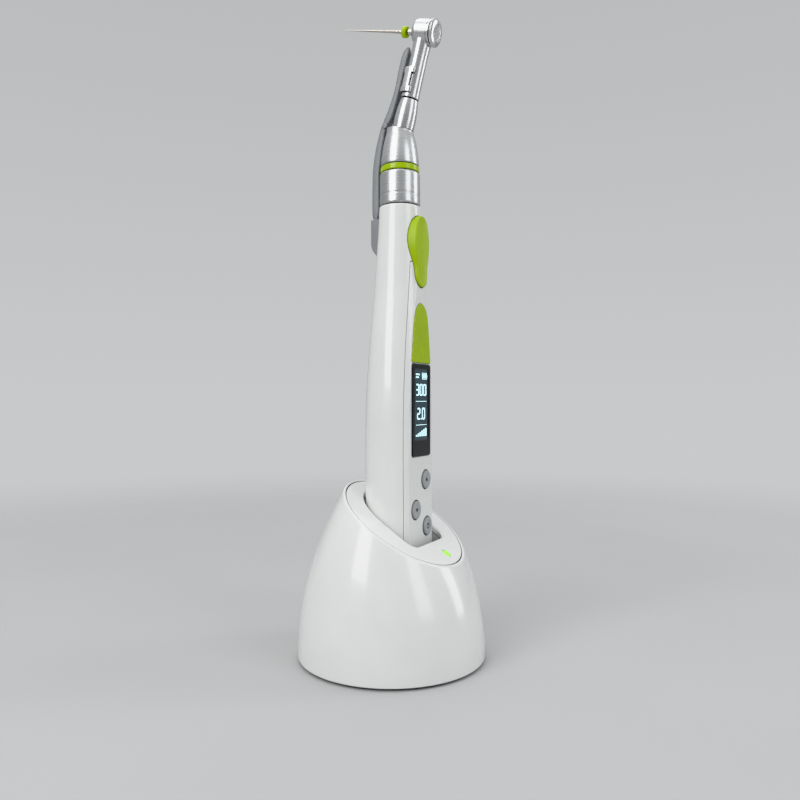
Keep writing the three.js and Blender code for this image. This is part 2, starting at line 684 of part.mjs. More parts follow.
// hollow spindle with its crown gear, set half a pitch off the pinion's side
const spindleGear = crownGear({
  teeth: CROWN_TEETH,
  radius: CROWN_R + 0.75,
  low: CROWN_FACE - 0.75,
  face: CROWN_FACE,
  facets: 40,
  inner: CROWN_R - 0.62,
  outer: CROWN_R + 0.7,
  width: 0.4,
  height: 0.42,
  start: QUARTER + Math.PI / CROWN_TEETH,
});
const spindle = cut(join(spindleGear, disc(2.1, -3.7, 4.2, 28)), disc(1.3, -10, 10, 24));
add(headGroup, "spindle", spindle, STEEL);
add(headGroup, "spindle_bearing_upper", ring(2.2, 4.2, -3.6, -2.5, 32), STEEL);
add(headGroup, "spindle_bearing_lower", ring(2.2, 4.2, 1.6, 2.8, 32), STEEL);

const CAP_PROFILE = [
  [0, -5.6], [3.0, -5.6], [4.4, -5.35], [5.1, -4.95], [5.3, -4.7], [5.3, -4.55],
  [4.0, -4.5], [4.0, -4.05], [2.2, -4.05], [2.2, -4.75], [0, -4.75],
];
add(headGroup, "push_cap", turned(CAP_PROFILE, 40), STEEL);

// file with its standard shank, and the depth stop on it
const FILE_PROFILE = [
  [0, -4.1], [SHANK_R, -4.1], [SHANK_R, 7.4], [0.8, 7.9], [0.72, 11.5],
  [0.6, 14.5], [0.13, 39.2], [0, 39.5],
];
add(headGroup, "endo_file", turned(FILE_PROFILE, 20), STEEL);
add(headGroup, "file_stopper", ring(0.86, 2.15, 7.9, 9.9, 28), LIME);

// electrode arm along the back of the contra-angle, plugged into the socket: [y, z]
const ARM_OUTLINE = [
  [9.5, 169.2], [11, 169.2], [11, 177], [12.2, 177], [12.25, 183], [12.15, 190],
  [12.1, 194.1], [11.55, 199.8], [10.5, 205.3], [8.1, 213.3], [4.3, 221], [1.9, 227.3],
  [0.33, 234.2], [-1, 239.4], [-2.3, 243], [-3.4, 244.5], [-4.4, 244.3], [-5.2, 243.2],
  [-4.9, 241.6], [-4, 239.4], [-2.7, 234.2], [-0.8, 227.3], [1.1, 221.5], [3.3, 215.5],
  [5.9, 212.6], [6.35, 209.5], [7.3, 205.3], [8, 200.5], [8.65, 196.2], [8.75, 180],
  [9, 177.4], [9.5, 177],
];
// round pin across the arm, standing out on both sides
const crossPin = moved(
  disc(1.15, -2.35, 2.35, 20),
  at(0, 5.9, 213.6).multiply(new THREE.Matrix4().makeRotationY(QUARTER)),
);
add(contra, "electrode_arm", join(alongX(ARM_OUTLINE, -1.75, 1.75), crossPin), GREY);

// spring clip on the neck: two claws and a bridge, of which only the -X side is kept
function armClip() {
  const inner = 3.8;
  const outer = inner + 0.8;
  const start = degToRad(-22);
  const end = degToRad(202);
  const outline = [
    ...arc(0, 0, outer, start, end, 14),
    ...arc(0, 0, inner, end, start, 14),
  ];
  const bridge = alongZ(outline, 20.7, 26.3).intersect(
    block({ x: [-FAR, -3.2], y: [-0.6, FAR] }),
  );
  return cut(
    join(alongZ(outline, 18.7, 20.9), alongZ(outline, 26.1, 28.3), bridge),
    block({ x: [-2.1, FAR] }),
  );
}
add(neck, "arm_clip", armClip(), STEEL);

export default root;
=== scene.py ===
# Looks of the endodontic motor: every shown shell is rebuilt as a fine mesh in the CAD frame, in millimetres, and scaled to metres at the end.
import json
import math

import bmesh
import bpy
import numpy as np
from mathutils import Matrix, Vector


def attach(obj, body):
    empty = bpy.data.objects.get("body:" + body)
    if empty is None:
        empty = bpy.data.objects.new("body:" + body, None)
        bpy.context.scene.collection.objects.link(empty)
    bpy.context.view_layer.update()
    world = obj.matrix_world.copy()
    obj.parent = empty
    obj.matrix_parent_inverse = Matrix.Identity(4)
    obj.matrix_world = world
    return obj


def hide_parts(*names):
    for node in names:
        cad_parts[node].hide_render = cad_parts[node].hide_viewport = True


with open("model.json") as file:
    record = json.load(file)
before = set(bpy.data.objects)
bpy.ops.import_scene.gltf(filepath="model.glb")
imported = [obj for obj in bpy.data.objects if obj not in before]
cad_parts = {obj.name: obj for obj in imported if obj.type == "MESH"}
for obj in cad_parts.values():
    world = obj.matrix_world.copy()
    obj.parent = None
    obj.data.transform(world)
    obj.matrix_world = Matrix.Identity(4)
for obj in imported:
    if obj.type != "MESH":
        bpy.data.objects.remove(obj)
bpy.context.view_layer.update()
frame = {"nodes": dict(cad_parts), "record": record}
N = frame["nodes"]
MM = 0.001
rad = math.radians

# ------------------------------------------------------------------ dimensions, mm
FOOT_R, FOOT_Z = 37.5, 1.0
RIM_RX, RIM_RV, RIM_Y, RIM_Z, TILT = 27.45, 27.64, -6.0, 54.57, rad(33.25)
AXIS_Y = -3.8
BEND_Z, LEAN, NECK = 206.5, rad(15), 42.9
FLAT_Y, SPLIT_Y = -9.4, -7.5
BODY = [(22, 13.2), (30, 13.6), (64, 13.8), (79, 13.9), (100, 13.75), (121.4, 12.5), (134, 11.4), (147, 10.25), (158.6, 9.5), (170, 8.75), (180, 8.3)]
PIN_X = 4.6


def T(x=0, y=0, z=0):
    return Matrix.Translation((x, y, z))


def RX(a):
    return Matrix.Rotation(a, 4, "X")


def RY(a):
    return Matrix.Rotation(a, 4, "Y")


def RZ(a):
    return Matrix.Rotation(a, 4, "Z")


I4 = Matrix.Identity(4)
HP = T(0, AXIS_Y, 0)
NK = HP @ T(0, 0, BEND_Z) @ RX(LEAN)
HD = NK @ T(0, 0, NECK) @ RX(-math.pi / 2)
SLOPE = T(0, RIM_Y, RIM_Z) @ RX(TILT)

# ------------------------------------------------------------------ mesh kit


def mesh_of(verts, faces, name="m", m=None):
    """A new object from points in mm, placed by m, with its faces pointing out."""
    me = bpy.data.meshes.new(name)
    me.from_pydata([tuple(map(float, v)) for v in verts], [], [tuple(map(int, f)) for f in faces])
    if m is not None:
        me.transform(m)
    bm = bmesh.new()
    bm.from_mesh(me)
    bmesh.ops.remove_doubles(bm, verts=bm.verts, dist=1e-5)
    bmesh.ops.recalc_face_normals(bm, faces=bm.faces)
    if bm.calc_volume(signed=True) < 0:
        bmesh.ops.reverse_faces(bm, faces=bm.faces)
    bm.to_mesh(me)
    bm.free()
    o = bpy.data.objects.new(name, me)
    bpy.context.scene.collection.objects.link(o)
    return o


def skin(rings, closed=False, name="m", m=None, caps=True):
    """Quads between successive rings of equal length; ends capped, or joined to each other when closed."""
    rings = [np.asarray(r, float) for r in rings]
    n = len(rings[0])
    verts = np.concatenate(rings)
    faces = []
    k = len(rings)
    for i in range(k if closed else k - 1):
        a, b = i * n, ((i + 1) % k) * n
        for j in range(n):
            j2 = (j + 1) % n
            faces.append((a + j, a + j2, b + j2, b + j))
    if not closed and caps:
        faces.append(tuple(range(n - 1, -1, -1)))
        faces.append(tuple((k - 1) * n + j for j in range(n)))
    return mesh_of(verts, faces, name, m)


def arcs(profile, steps=4):
    """[(r, z, fillet)] to a polyline with each corner rounded by its fillet."""
    pts = [np.array(p[:2], float) for p in profile]
    rr = [p[2] if len(p) > 2 else 0 for p in profile]
    out = []
    for i, p in enumerate(pts):
        if i in (0, len(pts) - 1) and rr[i] == 0 or rr[i] == 0:
            out.append(p)
            continue
        a, b = pts[(i - 1) % len(pts)], pts[(i + 1) % len(pts)]
        u, v = a - p, b - p
        lu, lv = np.linalg.norm(u), np.linalg.norm(v)
        d = min(rr[i], 0.48 * lu, 0.48 * lv)
        s, e = p + u / lu * d, p + v / lv * d
        for k in range(steps + 1):
            t = k / steps
            out.append((1 - t) ** 2 * s + 2 * t * (1 - t) * p + t * t * e)
    return out


def lathe(profile, seg=96, closed=False, name="m", m=None, steps=4):
    """Body of revolution about z from [(r, z, fillet)]. Open profiles start and end on the axis."""
    pts = arcs(profile, steps)
    ang = np.arange(seg) * 2 * math.pi / seg
    c, s = np.cos(ang), np.sin(ang)
    rings = [np.stack([p[0] * c, p[0] * s, np.full(seg, p[1])], 1) for p in pts]
    return skin(rings, closed, name, m, caps=False)


def outline_grow(pts, d):
    p = np.asarray(pts, float)
    area = 0.5 * np.sum(p[:, 0] * np.roll(p[:, 1], -1) - np.roll(p[:, 0], -1) * p[:, 1])
    t = np.roll(p, -1, 0) - np.roll(p, 1, 0)
    ln = np.linalg.norm(t, axis=1, keepdims=True)
    ln[ln == 0] = 1
    nrm = np.stack([t[:, 1], -t[:, 0]], 1) / ln
    if area < 0:
        nrm = -nrm
    return p + d * nrm


def slab(pts, z0, z1, top=0.3, bottom=0.0, name="m", m=None, steps=4, crown=0.0):
    """A plate of outline pts between z0 and z1 with rounded edges, optionally crowned, in its own xy plane."""
    rows = []
    if bottom > 0:
        for k in range(steps + 1):
            a = math.pi / 2 * k / steps
            rows.append((-bottom * (1 - math.sin(a)), z0 + bottom * (1 - math.cos(a))))
    else:
        rows.append((0, z0))
    if top > 0:
        for k in range(steps + 1):
            a = math.pi / 2 * k / steps
            rows.append((-top * (1 - math.cos(a)), z1 - top * (1 - math.sin(a))))
    else:
        rows.append((0, z1))
    rings = []
    for g, z in rows:
        q = outline_grow(pts, g) if abs(g) > 1e-9 else np.asarray(pts, float)
        rings.append(np.column_stack([q, np.full(len(q), z)]))
    if crown:
        q = rings[-1][:, :2]
        c = q.mean(0)
        for f in (0.9, 0.75, 0.55, 0.3, 0.12):
            rings.append(np.column_stack([c + (q - c) * f, np.full(len(q), z1 + crown * (1 - f * f))]))
    return skin(rings, False, name, m)


def facing_front(y_front=0.0):
    """Takes a slab's own (x, y, z) to (x, z, front = -y)."""
    return Matrix(((1, 0, 0, 0), (0, 0, -1, 0), (0, 1, 0, 0), (0, 0, 0, 1)))


FF = facing_front()


def dshape(r, flat, corner=1.2, n=120):
    """Circle of radius r cut straight at y = flat, corners rounded, as a polar curve."""
    out = []
    k = corner * 0.16
    for i in range(n):
        a = 2 * math.pi * i / n
        rho = r
        if math.sin(a) < 0:
            line = flat / math.sin(a)
            rho = -k * math.log(math.exp(-(r - r) / k) + math.exp(-(line - r) / k)) + r if k > 0 else min(r, line)
            if line - r > 40 * k:
                rho = r
        out.append((rho * math.cos(a), rho * math.sin(a)))
    return np.array(out)


def mouth(r, front, corner, cy=0.0, n=180):
    """The socket's mouth: round at the back, straight sides, square front with round corners."""
    a = np.linspace(0, math.pi, 60)
    back = np.stack([r * np.cos(a), cy + r * np.sin(a)], 1)
    b = np.linspace(math.pi, 1.5 * math.pi, 16)
    left = np.stack([-r + corner + corner * np.cos(b), cy + front + corner + corner * np.sin(b)], 1)
    c = np.linspace(1.5 * math.pi, 2 * math.pi, 16)
    right = np.stack([r - corner + corner * np.cos(c), cy + front + corner + corner * np.sin(c)], 1)
    return resample(np.concatenate([back, left, right]), n)


def rrect(x0, x1, z0, z1, r, n=6):
    out = []
    for cx, cz, a in ((x1 - r, z1 - r, 0), (x0 + r, z1 - r, 90), (x0 + r, z0 + r, 180), (x1 - r, z0 + r, 270)):
        for i in range(n + 1):
            t = rad(a + 90 * i / n)
            out.append((cx + r * math.cos(t), cz + r * math.sin(t)))
    return np.array(out)


def circ(cx, cy, r, n=64):
    a = np.arange(n) * 2 * math.pi / n
    return np.stack([cx + r * np.cos(a), cy + r * np.sin(a)], 1)


def catmull(pts, n, closed=False):
    """Centripetal-like Catmull-Rom through rows of any width, sampled evenly by chord length."""
    p = np.asarray(pts, float)
    k = len(p)
    if closed:
        ext = np.concatenate([p[-1:], p, p[:2]])
        segs = k
    else:
        ext = np.concatenate([2 * p[:1] - p[1:2], p, 2 * p[-1:] - p[-2:-1]])
        segs = k - 1
    dense = []
    for i in range(segs):
        a, b, c, d = ext[i], ext[i + 1], ext[i + 2], ext[i + 3]
        for t in np.linspace(0, 1, 40, endpoint=False):
            dense.append(0.5 * (2 * b + (c - a) * t + (2 * a - 5 * b + 4 * c - d) * t * t + (3 * b - a - 3 * c + d) * t ** 3))
    if not closed:
        dense.append(p[-1])
    dense = np.array(dense)
    loop = np.concatenate([dense, dense[:1]]) if closed else dense
    s = np.concatenate([[0], np.cumsum(np.linalg.norm(np.diff(loop, axis=0), axis=1))])
    q = np.linspace(0, s[-1], n, endpoint=not closed)
    return np.stack([np.interp(q, s, loop[:, j]) for j in range(loop.shape[1])], 1)


def resample(pts, n):
    """n points at even spacing along a closed polyline."""
    p = np.asarray(pts, float)
    loop = np.concatenate([p, p[:1]])
    s = np.concatenate([[0], np.cumsum(np.linalg.norm(np.diff(loop, axis=0), axis=1))])
    q = np.linspace(0, s[-1], n, endpoint=False)
    return np.stack([np.interp(q, s, loop[:, j]) for j in range(2)], 1)


def boolean(a, b, op="DIFFERENCE", keep=False):
    mod = a.modifiers.new("b", "BOOLEAN")
    mod.operation, mod.solver, mod.object = op, "EXACT", b
    dg = bpy.context.evaluated_depsgraph_get()
    me = bpy.data.meshes.new_from_object(a.evaluated_get(dg))
    old = a.data
    a.modifiers.clear()
    a.data = me
    bpy.data.meshes.remove(old)
    if not keep:
        bpy.data.objects.remove(b)
    return a


def apply_mods(o):
    dg = bpy.context.evaluated_depsgraph_get()
    me = bpy.data.meshes.new_from_object(o.evaluated_get(dg))
    old = o.data
    o.modifiers.clear()
    o.data = me
    bpy.data.meshes.remove(old)
    return o


def boxm(x0, x1, y0, y1, z0, z1, m=None):
    v = [(x, y, z) for x in (x0, x1) for y in (y0, y1) for z in (z0, z1)]
    f = [(0, 1, 3, 2), (4, 6, 7, 5), (0, 4, 5, 1), (2, 3, 7, 6), (0, 2, 6, 4), (1, 5, 7, 3)]
    return mesh_of(v, f, "cutter", m)


def flared(pts, surface, depth, flare, m=None, out=3.0):
    """Cutter with a chamfered mouth: outline pts, mouth at z = surface, going down by depth."""
    rows = [(flare + out, surface + out), (flare, surface + 0.0), (0, surface - flare), (0, surface - depth)]
    rings = [np.column_stack([outline_grow(pts, g) if g else np.asarray(pts), np.full(len(pts), z)]) for g, z in rows]
    return skin(rings, False, "cutter", m)


def finish_piece(o, name, body, mat, replaces=(), sharp=32, weighted=True):
    """Names a piece, scales it to metres, smooths it, gives it its material and lets it ride."""
    o.name = name
    me = o.data
    me.name = name
    me.transform(Matrix.Scale(MM, 4))
    bm = bmesh.new()
    bm.from_mesh(me)
    bmesh.ops.remove_doubles(bm, verts=bm.verts, dist=2e-8)
    bmesh.ops.dissolve_degenerate(bm, dist=1e-8, edges=bm.edges)
    for f in bm.faces:
        f.smooth = True
    lim = rad(sharp)
    for e in bm.edges:
        e.smooth = not (len(e.link_faces) == 2 and e.calc_face_angle(0) > lim)
    bm.to_mesh(me)
    bm.free()
    me.materials.clear()
    me.materials.append(mat)
    if weighted:
        w = o.modifiers.new("even shading", "WEIGHTED_NORMAL")
        w.keep_sharp = True
        w.weight = 60
    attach(o, body)
    if replaces:
        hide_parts(*replaces)
    return o


def merge(objs):
    """One object from several, each keeping its own closed shell."""
    bm = bmesh.new()
    for o in objs:
        bm.from_mesh(o.data)
    base = objs[0]
    bm.to_mesh(base.data)
    bm.free()
    for o in objs[1:]:
        bpy.data.objects.remove(o)
    return base


# ------------------------------------------------------------------ materials
class Mat:
    def __init__(self, name):
        self.m = bpy.data.materials.new(name)
        self.m.use_nodes = True
        self.t = self.m.node_tree
        self.t.nodes.clear()
        self.out = self.t.nodes.new("ShaderNodeOutputMaterial")
        self.b = self.t.nodes.new("ShaderNodeBsdfPrincipled")
        self.t.links.new(self.b.outputs[0], self.out.inputs[0])
        self.tc = self.t.nodes.new("ShaderNodeTexCoord")
        self.bump_last = None

    def set(self, **k):
        for a, v in k.items():
            self.b.inputs[a.replace("_", " ")].default_value = v
        return self

    def link(self, a, b):
        self.t.links.new(a, b)

    def coords(self, scale=(1, 1, 1), rot=(0, 0, 0), loc=(0, 0, 0)):
        """Object coordinates in millimetres, moved and turned."""
        mp = self.t.nodes.new("ShaderNodeMapping")
        mp.vector_type = "POINT"
        mp.inputs["Location"].default_value = loc
        mp.inputs["Rotation"].default_value = rot
        mp.inputs["Scale"].default_value = tuple(1000 * s for s in scale)
        self.link(self.tc.outputs["Object"], mp.inputs["Vector"])
        return mp.outputs[0]

    def own(self, frame_m, scale=(1, 1, 1)):
        """Millimetre coordinates in a part's own frame, then stretched."""
        back = frame_m.inverted()
        at = self.coords(rot=tuple(back.to_euler("XYZ")), loc=tuple(back.translation))
        if scale == (1, 1, 1):
            return at
        st = self.t.nodes.new("ShaderNodeMapping")
        st.inputs["Scale"].default_value = scale
        self.link(at, st.inputs["Vector"])
        return st.outputs[0]

    def noise(self, per_mm, detail=4, rough=0.55, scale=(1, 1, 1), rot=(0, 0, 0), dist=0.0, vec=None):
        n = self.t.nodes.new("ShaderNodeTexNoise")
        n.inputs["Scale"].default_value = per_mm
        n.inputs["Detail"].default_value = detail
        n.inputs["Roughness"].default_value = rough
        n.inputs["Distortion"].default_value = dist
        self.link(vec if vec is not None else self.coords(scale, rot), n.inputs["Vector"])
        return n.outputs["Fac"]

    def remap(self, fac, a, b, lo=0.3, hi=0.7):
        r = self.t.nodes.new("ShaderNodeMapRange")
        r.inputs["From Min"].default_value = lo
        r.inputs["From Max"].default_value = hi
        r.inputs["To Min"].default_value = a
        r.inputs["To Max"].default_value = b
        self.link(fac, r.inputs["Value"])
        return r.outputs[0]

    def mix(self, fac, a, b):
        x = self.t.nodes.new("ShaderNodeMix")
        x.data_type = "RGBA"
        for sock, v in ((x.inputs["A"], a), (x.inputs["B"], b)):
            pass
        ins = [i for i in x.inputs if i.type == "RGBA"]
        for sock, v in zip(ins, (a, b)):
            if isinstance(v, tuple):
                sock.default_value = (*v, 1) if len(v) == 3 else v
            else:
                self.link(v, sock)
        f = [i for i in x.inputs if i.type == "VALUE"][0]
        if isinstance(fac, (int, float)):
            f.default_value = fac
        else:
            self.link(fac, f)
        return [o for o in x.outputs if o.type == "RGBA"][0]

    def bump(self, height, strength, distance_mm):
        b = self.t.nodes.new("ShaderNodeBump")
        b.inputs["Strength"].default_value = strength
        b.inputs["Distance"].default_value = distance_mm * MM
        self.link(height, b.inputs["Height"])
        if self.bump_last is not None:
            self.link(self.bump_last, b.inputs["Normal"])
        self.bump_last = b.outputs[0]
        self.link(self.bump_last, self.b.inputs["Normal"])
        return self

    def color(self, c):
        self.link(c, self.b.inputs["Base Color"])
        return self

    def rough(self, r):
        self.link(r, self.b.inputs["Roughness"])
        return self

    def edge(self):
        """1 on worn convex edges, 0 elsewhere."""
        g = self.t.nodes.new("ShaderNodeNewGeometry")
        return self.remap(g.outputs["Pointiness"], 0.0, 1.0, 0.52, 0.60)

    def crevice(self, dist_mm=1.2):
        """Ambient occlusion used to paint shade into colour: 1 in the open, falling in seams and corners."""
        a = self.t.nodes.new("ShaderNodeAmbientOcclusion")
        a.samples = 4
        a.inputs["Distance"].default_value = dist_mm * MM
        return a.outputs["AO"]


def plastic(name, col, dark, rough=(0.2, 0.3), coat=0.35, grain=0.0, crevice=0.75, ior=1.5):
    m = Mat(name)
    m.set(IOR=ior, Coat_Weight=coat, Coat_Roughness=0.06)
    mott = m.remap(m.noise(0.05, 3), 0.0, 1.0)
    base = m.mix(mott, col, dark)
    # painted shade: ambient occlusion darkens the plastic's colour in seams and corners
    if crevice:
        painted_crevice_shade = tuple(c * crevice for c in dark)
        base = m.mix(m.remap(m.crevice(0.7), 0.0, 1.0, 0.35, 0.95), painted_crevice_shade, base)
    m.color(base)
    m.rough(m.remap(m.noise(0.9, 5, 0.6), *rough))
    m.bump(m.noise(0.12, 2), 0.05, 0.25)
    if grain:
        m.bump(m.noise(7.0, 2), grain, 0.02)
    return m.m


def steel(name, tint=(0.66, 0.67, 0.68), at=None, head=None, axis_scale=(0.06, 0.06, 9.0), rough=(0.2, 0.34), aniso=0.4, worn=True):
    """Brushed steel with its marks running round the z axis of frame at, and round that of head beyond the neck."""
    m = Mat(name)
    m.set(Metallic=1.0, Anisotropic=aniso)
    at = HP if at is None else at
    if at is HP:
        tg = m.t.nodes.new("ShaderNodeTangent")
        tg.direction_type, tg.axis = "RADIAL", "Z"
        m.link(tg.outputs[0], m.b.inputs["Tangent"])
    vec = m.own(at, axis_scale)
    lines = m.noise(1.0, 3, 0.5, vec=vec)
    fine = m.noise(2.2, 2, 0.5, vec=vec)
    if head is not None:
        z = m.t.nodes.new("ShaderNodeSeparateXYZ")
        m.link(m.own(at), z.inputs[0])
        over = m.remap(z.outputs["Z"], 0.0, 1.0, NECK - 5.4, NECK - 4.4)
        hv = m.own(head, axis_scale)
        lines = m.mix(over, lines, m.noise(1.0, 3, 0.5, vec=hv))
        fine = m.mix(over, fine, m.noise(2.2, 2, 0.5, vec=hv))
    cloud = m.noise(0.12, 3)
    col = m.mix(m.remap(lines, 0, 1), tuple(c * 0.86 for c in tint), tint)
    col = m.mix(m.remap(cloud, 0, 0.35), col, tuple(c * 0.8 for c in tint))
    if worn:
        col = m.mix(m.edge(), col, tuple(min(1, c * 1.15) for c in tint))
    # painted shade: ambient occlusion darkens the steel's colour in seams and corners
    col = m.mix(m.remap(m.crevice(0.8), 0.0, 1.0, 0.3, 0.95), tuple(c * 0.35 for c in tint), col)
    m.color(col)
    m.rough(m.remap(fine, *rough))
    m.bump(lines, 0.12, 0.012)
    return m.m


W_GLOSS = plastic("white_gloss", (0.80, 0.81, 0.80), (0.765, 0.775, 0.77), (0.16, 0.26), 0.45)
W_SATIN = plastic("white_satin", (0.70, 0.71, 0.71), (0.64, 0.65, 0.65), (0.38, 0.5), 0.0, 0.25)
LIME = plastic("lime_accent", (0.40, 0.56, 0.006), (0.345, 0.495, 0.004), (0.2, 0.3), 0.35, crevice=0)
LIME_SOFT = plastic("lime_soft", (0.38, 0.54, 0.008), (0.33, 0.47, 0.006), (0.34, 0.46), 0.1, 0.3)
KEY = plastic("soft_key", (0.40, 0.415, 0.425), (0.35, 0.36, 0.37), (0.42, 0.55), 0.0, 0.35)
WINDOW = plastic("dark_window", (0.010, 0.011, 0.013), (0.006, 0.007, 0.008), (0.05, 0.1), 0.6, crevice=0)
BLACK = plastic("black_plastic", (0.020, 0.020, 0.022), (0.013, 0.013, 0.015), (0.4, 0.55), 0.0, 0.4)
ARM = plastic("arm_polymer", (0.27, 0.285, 0.30), (0.24, 0.25, 0.265), (0.3, 0.42), 0.1, 0.25)
STEEL = steel("steel_satin")
STEEL_NECK = steel("steel_satin_neck", at=NK, head=HD, aniso=0.0, worn=False)


def turned_steel(name, frame_m, tint=(0.68, 0.69, 0.70), rough=(0.16, 0.27)):
    """Steel with turning marks about the z axis of frame_m: rings on a face, lines round a side."""
    m = Mat(name)
    m.set(Metallic=1.0)
    parts = m.t.nodes.new("ShaderNodeSeparateXYZ")
    m.link(m.own(frame_m), parts.inputs[0])
    flat = m.t.nodes.new("ShaderNodeCombineXYZ")
    m.link(parts.outputs["X"], flat.inputs["X"])
    m.link(parts.outputs["Y"], flat.inputs["Y"])
    ln = m.t.nodes.new("ShaderNodeVectorMath")
    ln.operation = "LENGTH"
    m.link(flat.outputs[0], ln.inputs[0])
    rz = m.t.nodes.new("ShaderNodeCombineXYZ")
    m.link(ln.outputs["Value"], rz.inputs["X"])
    m.link(parts.outputs["Z"], rz.inputs["Z"])
    marks = m.noise(7.0, 3, 0.5, vec=rz.outputs[0])
    cloud = m.noise(0.14, 3)
    col = m.mix(m.remap(marks, 0, 1), tuple(c * 0.87 for c in tint), tint)
    col = m.mix(m.remap(cloud, 0, 0.35), col, tuple(c * 0.8 for c in tint))
    col = m.mix(m.edge(), col, tuple(min(1, c * 1.15) for c in tint))
    # painted shade: ambient occlusion darkens the steel's colour in seams and corners
    col = m.mix(m.remap(m.crevice(0.8), 0.0, 1.0, 0.3, 0.95), tuple(c * 0.35 for c in tint), col)
    m.color(col)
    m.rough(m.remap(m.noise(12.0, 2, 0.5, vec=rz.outputs[0]), *rough))
    m.bump(marks, 0.12, 0.01)
    return m.m


STEEL_HEAD = turned_steel("steel_satin_head", HD)
BRIGHT = steel("steel_bright", (0.72, 0.73, 0.74), rough=(0.14, 0.24))


def rubber():
    m = Mat("rubber_black")
    m.color(m.mix(m.remap(m.noise(0.4, 4), 0, 1), (0.022, 0.022, 0.023), (0.038, 0.038, 0.040)))
    m.rough(m.remap(m.noise(2.0, 3), 0.65, 0.85))
    m.bump(m.noise(5.0, 4), 0.5, 0.04)
    return m.m


def silicone():
    m = Mat("stop_silicone")
    m.set(Subsurface_Weight=0.25, Subsurface_Scale=0.0008, IOR=1.42)
    m.b.inputs["Subsurface Radius"].default_value = (0.6, 1.0, 0.2)
    m.color(m.mix(m.remap(m.noise(0.8, 3), 0, 1), (0.36, 0.53, 0.01), (0.43, 0.60, 0.02)))
    m.rough(m.remap(m.noise(3.0, 3), 0.42, 0.58))
    m.bump(m.noise(6.0, 3), 0.25, 0.02)
    return m.m


def file_alloy():
    m = Mat("file_alloy")
    m.set(Metallic=1.0)
    heat = m.noise(0.35, 3, 0.5, (0.3, 1, 1))
    m.color(m.mix(m.remap(heat, 0, 1), (0.62, 0.56, 0.46), (0.50, 0.50, 0.54)))
    m.rough(m.remap(m.noise(4.0, 3), 0.2, 0.34))
    m.bump(m.noise(8.0, 3), 0.2, 0.008)
    return m.m


def brass():
    m = Mat("contact_brass")
    m.set(Metallic=1.0)
    m.color(m.mix(m.remap(m.noise(0.9, 4), 0, 1), (0.86, 0.62, 0.26), (0.74, 0.50, 0.20)))
    m.rough(m.remap(m.noise(2.5, 4), 0.18, 0.38))
    m.bump(m.noise(6.0, 3), 0.2, 0.01)
    return m.m


def board():
    m = Mat("circuit_board")
    br = m.t.nodes.new("ShaderNodeTexBrick")
    br.inputs["Scale"].default_value = 0.35
    br.inputs["Mortar Size"].default_value = 0.03
    br.inputs["Color1"].default_value = (0.010, 0.10, 0.035, 1)
    br.inputs["Color2"].default_value = (0.012, 0.13, 0.045, 1)
    br.inputs["Mortar"].default_value = (0.03, 0.24, 0.08, 1)
    m.link(m.coords(rot=(rad(90), 0, 0)), br.inputs["Vector"])
    m.color(m.mix(m.remap(m.noise(0.5, 3), 0, 0.5), br.outputs["Color"], (0.008, 0.08, 0.03)))
    m.rough(m.remap(m.noise(1.5, 3), 0.3, 0.5))
    m.bump(br.outputs["Fac"], 0.4, 0.03)
    return m.m


def battery():
    m = Mat("battery_wrap")
    m.set(Coat_Weight=0.4)
    m.color(m.mix(m.remap(m.noise(0.3, 3), 0, 1), (0.03, 0.12, 0.36), (0.045, 0.16, 0.44)))
    m.rough(m.remap(m.noise(1.0, 4), 0.25, 0.4))
    m.bump(m.noise(0.8, 3, 0.5, (1, 1, 0.15)), 0.25, 0.06)
    return m.m


def iron():
    m = Mat("ballast_iron")
    m.set(Metallic=0.9)
    m.color(m.mix(m.remap(m.noise(0.8, 5), 0, 1), (0.22, 0.22, 0.225), (0.33, 0.33, 0.335)))
    m.rough(m.remap(m.noise(2.0, 4), 0.45, 0.7))
    m.bump(m.noise(3.0, 5), 0.6, 0.08)
    return m.m


def led():
    m = Mat("led_clear")
    m.set(Coat_Weight=0.6, Emission_Strength=1.1)
    g = m.mix(m.remap(m.noise(1.6, 2), 0, 1), (0.25, 0.62, 0.03), (0.40, 0.80, 0.08))
    m.color(g)
    m.link(g, m.b.inputs["Emission Color"])
    m.rough(m.remap(m.noise(2.0, 2), 0.1, 0.25))
    m.bump(m.noise(2.5, 2), 0.2, 0.02)
    return m.m


def lcd():
    m = Mat("lcd_face")
    m.set(Coat_Weight=0.8, Coat_Roughness=0.03, Emission_Strength=0.25)
    ck = m.t.nodes.new("ShaderNodeTexChecker")
    ck.inputs["Scale"].default_value = 5.0
    m.link(m.coords(), ck.inputs["Vector"])
    glow = m.mix(m.remap(m.noise(0.06, 2), 0, 1), (0.018, 0.040, 0.055), (0.030, 0.062, 0.080))
    px = m.mix(m.remap(ck.outputs["Fac"], 0, 0.25, 0, 1), glow, (0.012, 0.028, 0.040))
    m.color(px)
    m.link(px, m.b.inputs["Emission Color"])
    m.rough(m.remap(m.noise(1.0, 2), 0.1, 0.18))
    return m.m


def glyph():
    m = Mat("lcd_glyph")
    m.set(Emission_Strength=1.6)
    c = m.mix(m.remap(m.noise(1.2, 2), 0, 1), (0.55, 0.88, 0.95), (0.70, 0.97, 1.0))
    m.color(c)
    m.link(c, m.b.inputs["Emission Color"])
    m.rough(m.remap(m.noise(1.0, 2), 0.3, 0.4))
    return m.m


def ink():
    m = Mat("key_ink")
    m.color(m.mix(m.remap(m.noise(1.2, 3), 0, 1), (0.03, 0.03, 0.032), (0.05, 0.05, 0.054)))
    m.rough(m.remap(m.noise(2.0, 3), 0.4, 0.55))
    m.bump(m.noise(4.0, 2), 0.2, 0.01)
    return m.m


RUBBER, SILICONE, NITI, BRASS, BOARD, CELL, IRON, LED, LCD, GLYPH, INK = (
    rubber(), silicone(), file_alloy(), brass(), board(), battery(), iron(), led(), lcd(), glyph(), ink())

